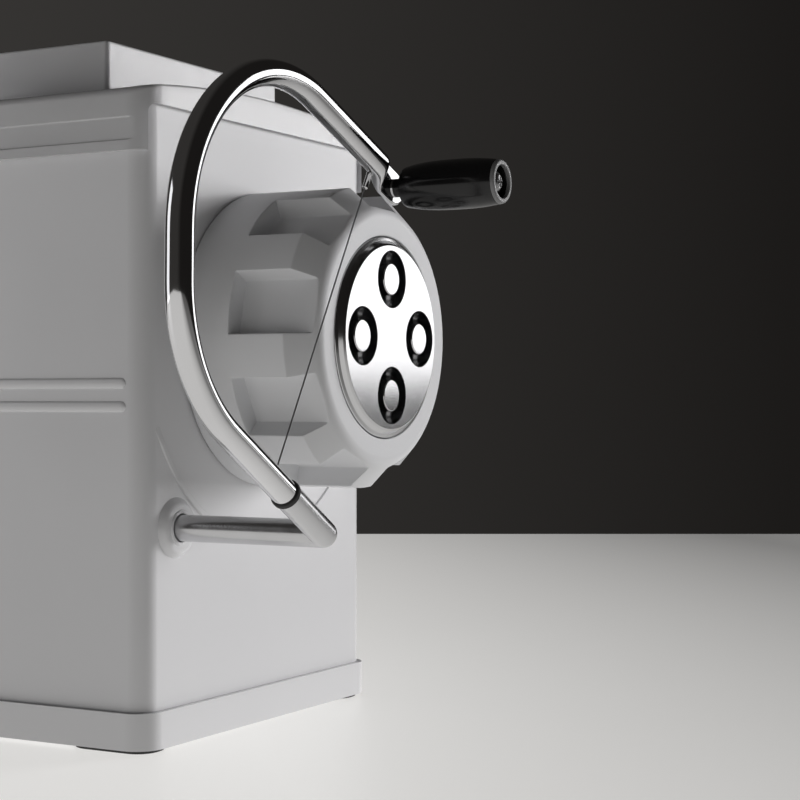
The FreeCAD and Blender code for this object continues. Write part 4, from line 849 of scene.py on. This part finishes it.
# the round tube eases into a flat pad with rounded corners, and left is what remains to the pad's centre
def makeArm(around=40):
    c, face = crank, place["faceY"]
    stations, end = crankPath()
    forward = heading(c["topTurn"])
    loops = []
    for spot, turn in stations:
        left = (end - spot).dot(forward) if turn == c["topTurn"] else math.inf
        ease = easeStep((c["padRun"] + c["padRamp"] - left) / c["padRamp"])
        across = c["tube"] + (c["padHalf"] - c["tube"]) * ease
        if left < 0:
            across = math.sqrt(max(c["padHalf"] ** 2 - left ** 2, c["thinnest"]))
        deep = c["tube"] + ((c["padTo"] - c["padFrom"]) / 2 - c["tube"]) * ease
        middle = c["plane"] + ((c["padFrom"] + c["padTo"]) / 2 - c["plane"]) * ease
        power = 2 / (2 + c["padSquare"] * ease)
        side = heading(turn - 90)
        ring = []
        for k in range(around):
            a = 2 * math.pi * k / around
            u = math.copysign(abs(math.cos(a)) ** power, math.cos(a)) * across
            v = math.copysign(abs(math.sin(a)) ** power, math.sin(a)) * deep
            ring.append((spot.x + side.x * u, face - middle - v, spot.y + side.y * u))
        loops.append(ring)
    piece = stack("crankBow", loops)
    soften(piece, crease=50)
    finishPiece(piece, "crank", "chrome", "crank_arm")


def inPlane(spot, d):
    return Vector((spot.x, place["faceY"] - d, spot.y))


# a rod's outline as (radius, distance), its far edge rounded
def rodLine(radius, length, edge):
    corners = [(0, 0, 0), (radius, 0, 0), (radius, length, edge), (0, length, 0)]
    return softLine(corners, closed=False, steps=3)


def makeElbow():
    c, r, back = crank, crank["shaft"], (0, 1, 0)
    corner = inPlane(Vector((place["shaftX"], place["shaftZ"])), c["plane"])
    leg = heading(c["legTurn"])
    way = Vector((leg.x, 0, leg.y))
    shaft = rodAlong("elbowRod", rodLine(r, c["plane"] + c["shaftTail"], 0.6), corner, back)
    arm = rodAlong("elbowLeg", rodLine(r, c["elbowLeg"], 0.35), corner, way)
    turns = [math.radians(a) for a in range(0, 181, 6)]
    ball = rodAlong("elbowBall", [(r * math.sin(t), -r * math.cos(t)) for t in turns], corner, back)
    cutWith(shaft, arm, ball, way="UNION")
    soften(shaft, crease=28)
    finishPiece(shaft, "crank", "chrome", "crank_shaft", look="satin_chrome")
    rim, hole, width = c["tube"] + c["sealProud"], c["sealHole"], c["sealWidth"]
    band = softLine([(hole, 0, 0), (rim, 0, 0.7), (rim, width, 0.7), (hole, width, 0)], closed=False)
    seal = rodAlong("sealRing", band, corner + way * c["elbowLeg"], way)
    soften(seal)
    finishPiece(seal, "crank", "black_rubber", "crank_seal_ring")


def makeWire():
    c, w = crank, wire
    start = Vector((place["shaftX"], place["shaftZ"]))
    end = Vector((place["gripX"], place["gripZ"]))
    low = inPlane(start + heading(c["legTurn"]) * w["lowAt"], w["plane"])
    high = inPlane(end - heading(c["topTurn"]) * w["highAt"], w["plane"])
    way = (high - low).normalized()
    span = (high - low).length
    line = rodAlong("cutWire", [(0, 0), (w["radius"], 0), (w["radius"], span), (0, span)], low, way, 16)
    soften(line, crease=50)
    finishPiece(line, "crank", "steel_wire", "cutting_wire")
    for name, origin, along, proud, nodeNames in (
            ("lowFerrule", low, way, w["lowProud"], ("wire_ferrules",)),
            ("highFerrule", high, -way, w["highProud"], ())):
        reach = c["tube"] + proud
        tip = reach + w["tip"]
        cap = softLine([(0, w["ferruleFrom"], 0), (w["ferrule"], w["ferruleFrom"], 0),
                        (w["ferrule"], reach, 0.35), (w["radius"] + w["tipProud"], tip, 0.1), (0, tip, 0)],
                       closed=False, steps=4)
        sleeve = rodAlong(name, cap, origin, along, 28)
        soften(sleeve)
        finishPiece(sleeve, "crank", "chrome", *nodeNames)


makeArm()
makeElbow()
makeWire()
print("crank: done")


# grip, its end ring and the screw it turns on
grip = dict(neckFrom=62.3, start=66.7, end=106.1, neck=3.6, startRadius=7.6, endRadius=8.4, fullRadius=9.6,
            fullAt=90.0, startPower=3.0, endPower=2.2, firstStation=1.5, station=2.0, lastStation=0.8,
            bore=2.28, pocket=6.3, pocketDeep=5.2, ring=1.4, ringTaper=0.35)
screw = dict(start=59.8, radius=2.2, seat=0.08, head=5.4, headHigh=5.6, headEdge=1.1, slotHalf=0.55,
             slotReach=2.5, slotDeep=1.5, slotTaper=0.45, over=0.5, edge=0.1)


def gripRadius(d):
    g = grip
    if d < g["fullAt"]:
        t = (g["fullAt"] - d) / (g["fullAt"] - g["start"])
        return g["fullRadius"] - (g["fullRadius"] - g["startRadius"]) * t ** g["startPower"]
    t = (d - g["fullAt"]) / (g["end"] - g["fullAt"])
    return g["fullRadius"] - (g["fullRadius"] - g["endRadius"]) * t ** g["endPower"]


# turned about the grip's axis, from a line of (radius, distance in front of the face)
def turnGrip(name, line, closed, segments):
    centre = (place["gripX"], place["gripZ"])
    return lathe(name, [(r, place["faceY"] - d) for r, d in line], centre, closed, segments)


def makeGrip():
    g = grip
    floor, front = g["end"] - g["pocketDeep"], g["end"] + g["ring"]
    corners = [(g["bore"], g["neckFrom"], 0), (g["neck"], g["neckFrom"], 0.2), (g["neck"], g["start"], 0.5),
               (g["startRadius"], g["start"], 1.0)]
    d = g["start"] + g["firstStation"]
    while d < g["end"] - g["lastStation"]:
        corners.append((gripRadius(d), d, 0))
        d += g["station"]
    corners += [(g["endRadius"], g["end"], 0.3), (g["pocket"], g["end"], 0.2), (g["pocket"], floor, 0.2),
                (g["bore"], floor, 0)]
    body = turnGrip("gripBarrel", softLine(corners), True, 80)
    soften(body, crease=40)
    finishPiece(body, "grip", "black_plastic", "grip")
    rim = softLine([(g["pocket"], g["end"], 0), (g["endRadius"], g["end"], 0),
                    (g["endRadius"] - g["ringTaper"], front, 0.8), (g["pocket"], front, 0.35)])
    ring = turnGrip("gripEndRing", rim, True, 80)
    soften(ring, crease=40)
    finishPiece(ring, "grip", "grey_plastic", "grip_end_ring")


# a domed head with a cross slot that narrows downwards
def makeScrew():
    s = screw
    base = grip["end"] - grip["pocketDeep"] + s["seat"]
    dome = base + s["headEdge"]
    line = [(0, s["start"]), (s["radius"], s["start"]), (s["radius"], base), (s["head"], base)]
    for a in range(0, 90, 10):
        rise = (s["headHigh"] - s["headEdge"]) * math.sin(math.radians(a))
        line.append((s["head"] * math.cos(math.radians(a)), dome + rise))
    line.append((0, base + s["headHigh"]))
    body = turnGrip("gripScrew", line, False, 64)
    top = place["faceY"] - base - s["headHigh"]
    cuts = []
    for wide, tall in ((s["slotReach"], s["slotHalf"]), (s["slotHalf"], s["slotReach"])):
        loops = []
        for y, share in ((top - s["over"], 1.0), (top + s["slotDeep"], s["slotTaper"])):
            a, b = (wide * share, tall) if wide > tall else (wide, tall * share)
            loops.append([(place["gripX"] + sx * a, y, place["gripZ"] + sz * b) for sx, sz in squareCorners])
        cuts.append(stack("slotCut", loops))
    cutWith(body, *cuts)
    soften(body, s["edge"], crease=35)
    finishPiece(body, "crank", "chrome", "grip_screw", look="satin_chrome")


makeGrip()
makeScrew()
print("grip: done")


# feet: one rubber pad, set at the four corners by its own node tree
foot = dict(halfX=9.0, halfY=18.0, corner=8.0, apartX=141.4, apartY=143.4,
            rings=((-1.4, 0.0), (-0.6, 0.0), (-0.18, 0.18), (0.0, 0.6), (0.0, 2.65)))  # outwards and up


def cornersTree():
    tree, net, given = makeTree("copiesAtCorners", ApartX="NodeSocketFloat", ApartY="NodeSocketFloat",
                                Finish="NodeSocketMaterial")
    corners = net.add("GeometryNodeMeshGrid", {}, {"Size X": given["ApartX"], "Size Y": given["ApartY"],
                                                   "Vertices X": 2, "Vertices Y": 2})
    copies = net.add("GeometryNodeInstanceOnPoints", {}, {"Points": corners, "Instance": given["Geometry"]})
    closeTree(net, copies, given)
    return tree


def makeFeet():
    f = foot
    loops = []
    for grow, z in f["rings"]:
        loop = rectLoop(f["halfX"] + grow, f["halfY"] + grow, f["corner"] + grow, cornerSteps=6, alongX=2,
                        alongY=3)
        loops.append(flat(loop, z))
    pads = stack("rubberFeet", loops)
    soften(pads, crease=50)
    runTree(pads, cornersTree(), ApartX=f["apartX"] * mm, ApartY=f["apartY"] * mm,
            Finish=finishes["black_rubber"])
    finishPiece(pads, "machine", "black_rubber", "feet")


makeFeet()
print("feet: done")


# base: the CAD plinth, merged and lightly edged; the CAD pieces that are left keep their mesh
base = dict(edge=0.8, steps=3)
slots = {entry["node"]: entry["material_slot"] for entry in frame["record"]["subparts"]}


def makeBase():
    plinth = bpy.data.objects.new("basePlinth", nodes["base"].data.copy())
    bpy.context.scene.collection.objects.link(plinth)
    work = bmesh.new()
    work.from_mesh(plinth.data)
    bmesh.ops.remove_doubles(work, verts=work.verts, dist=mend["weld"])
    work.to_mesh(plinth.data)
    work.free()
    soften(plinth, base["edge"], steps=base["steps"])
    finishPiece(plinth, "machine", slots["base"], "base")


makeBase()
for name, slotName in slots.items():
    node = nodes[name]
    if not node.hide_render:
        node.data.materials.clear()
        node.data.materials.append(finishes[slotName])
print("carried-over pieces: done")


# floor, backdrop and lamps: a grey table made pale by a painted glow of light, brightest near the camera and
# on the left and fading towards the far right, a key box on the right that no reflection shows, a weak mirror
# box beside it for the reflections, and a raking box behind on the left
room = dict(floorDeep=1.762, floorSide=3.2, floorBack=3.5, base=(0.27, 0.27, 0.266), dull=0.96, cloud=1.6,
            gloss=0.45, cloudGloss=0.08, glowNear=(0.62, 0.612, 0.598), glowFar=(0.10, 0.098, 0.095),
            glowStart=1.096, glowAcross=1.635, glowAlong=0.375, backLeft=(0.036, 0.034, 0.032),
            backRight=(0.0115, 0.0105, 0.0098), backSlope=2.4)
lamps = [  # name, place, aimed at, size, watts, colour, seen in reflections
    ("keyBox", (1.95, -1.20, 0.42), (0.0, -0.12, 0.150), (0.85, 1.0), 47.0, (1.0, 0.99, 0.995), False),
    ("mirrorBox", (1.90, -1.17, 0.60), (0.0, -0.12, 0.150), (0.85, 0.9), 4.6, (1.0, 0.995, 1.0), True),
    ("rakeBox", (-0.82, 1.10, 0.42), (-0.08, 0.0, 0.14), (0.7, 0.8), 2.1, (0.98, 0.98, 1.0), True),
]
right = Vector((aim.y, -aim.x, 0))


def makeFloor():
    r = room
    eye = Vector((view["at"][0], view["at"][1], 0))
    far, near = eye + aim * r["floorDeep"], eye - aim * r["floorBack"]
    side = right * r["floorSide"]
    mesh = bpy.data.meshes.new("floor")
    mesh.from_pydata([far - side, near - side, near + side, far + side], [], [(0, 1, 2, 3)])
    floor = bpy.data.objects.new("floor", mesh)
    bpy.context.scene.collection.objects.link(floor)
    f = Finish("paintedLightTable")
    across, along = f.along(f.spot, right), f.along(f.spot, aim)
    # the table's glow is painted light: brightest near the camera and on the left, fading towards the far
    # right, in place of the light falling on it
    glow = (r["glowStart"] - across * r["glowAcross"] - along * r["glowAlong"]).clamped()
    cloud = f.noise(r["cloud"], 3.0)
    mesh.materials.append(f.close(dict(Emission_Strength=1.0),
                                  Base_Color=f.tone(dulled(r["base"], r["dull"]), r["base"], cloud),
                                  Roughness=r["gloss"] + cloud * r["cloudGloss"],
                                  Emission_Color=f.tone(r["glowFar"], r["glowNear"], glow)))


def makeBackdrop():
    r = room
    world = bpy.data.worlds.new("studio")
    bpy.context.scene.world = world
    world.use_nodes = True
    net = Net(world.node_tree)
    across = net.along(net.add("ShaderNodeTexCoord"), right)
    back = net.tone(r["backLeft"], r["backRight"], (across * r["backSlope"] + 0.5).clamped())
    glow = net.add("ShaderNodeBackground", {}, {"Color": back, "Strength": 1.0})
    net.add("ShaderNodeOutputWorld", {}, [glow])


def makeLamps():
    for name, at, target, size, watts, colour, glossy in lamps:
        data = bpy.data.lights.new(name, "AREA")
        data.shape, data.size, data.size_y = "RECTANGLE", *size
        data.energy, data.color = watts, colour
        lamp = bpy.data.objects.new(name, data)
        lamp.location = at
        lamp.rotation_euler = (Vector(target) - Vector(at)).to_track_quat("-Z", "Y").to_euler()
        lamp.visible_camera = False
        lamp.visible_glossy = glossy
        bpy.context.scene.collection.objects.link(lamp)


makeFloor()
makeBackdrop()
makeLamps()
print("room: done")
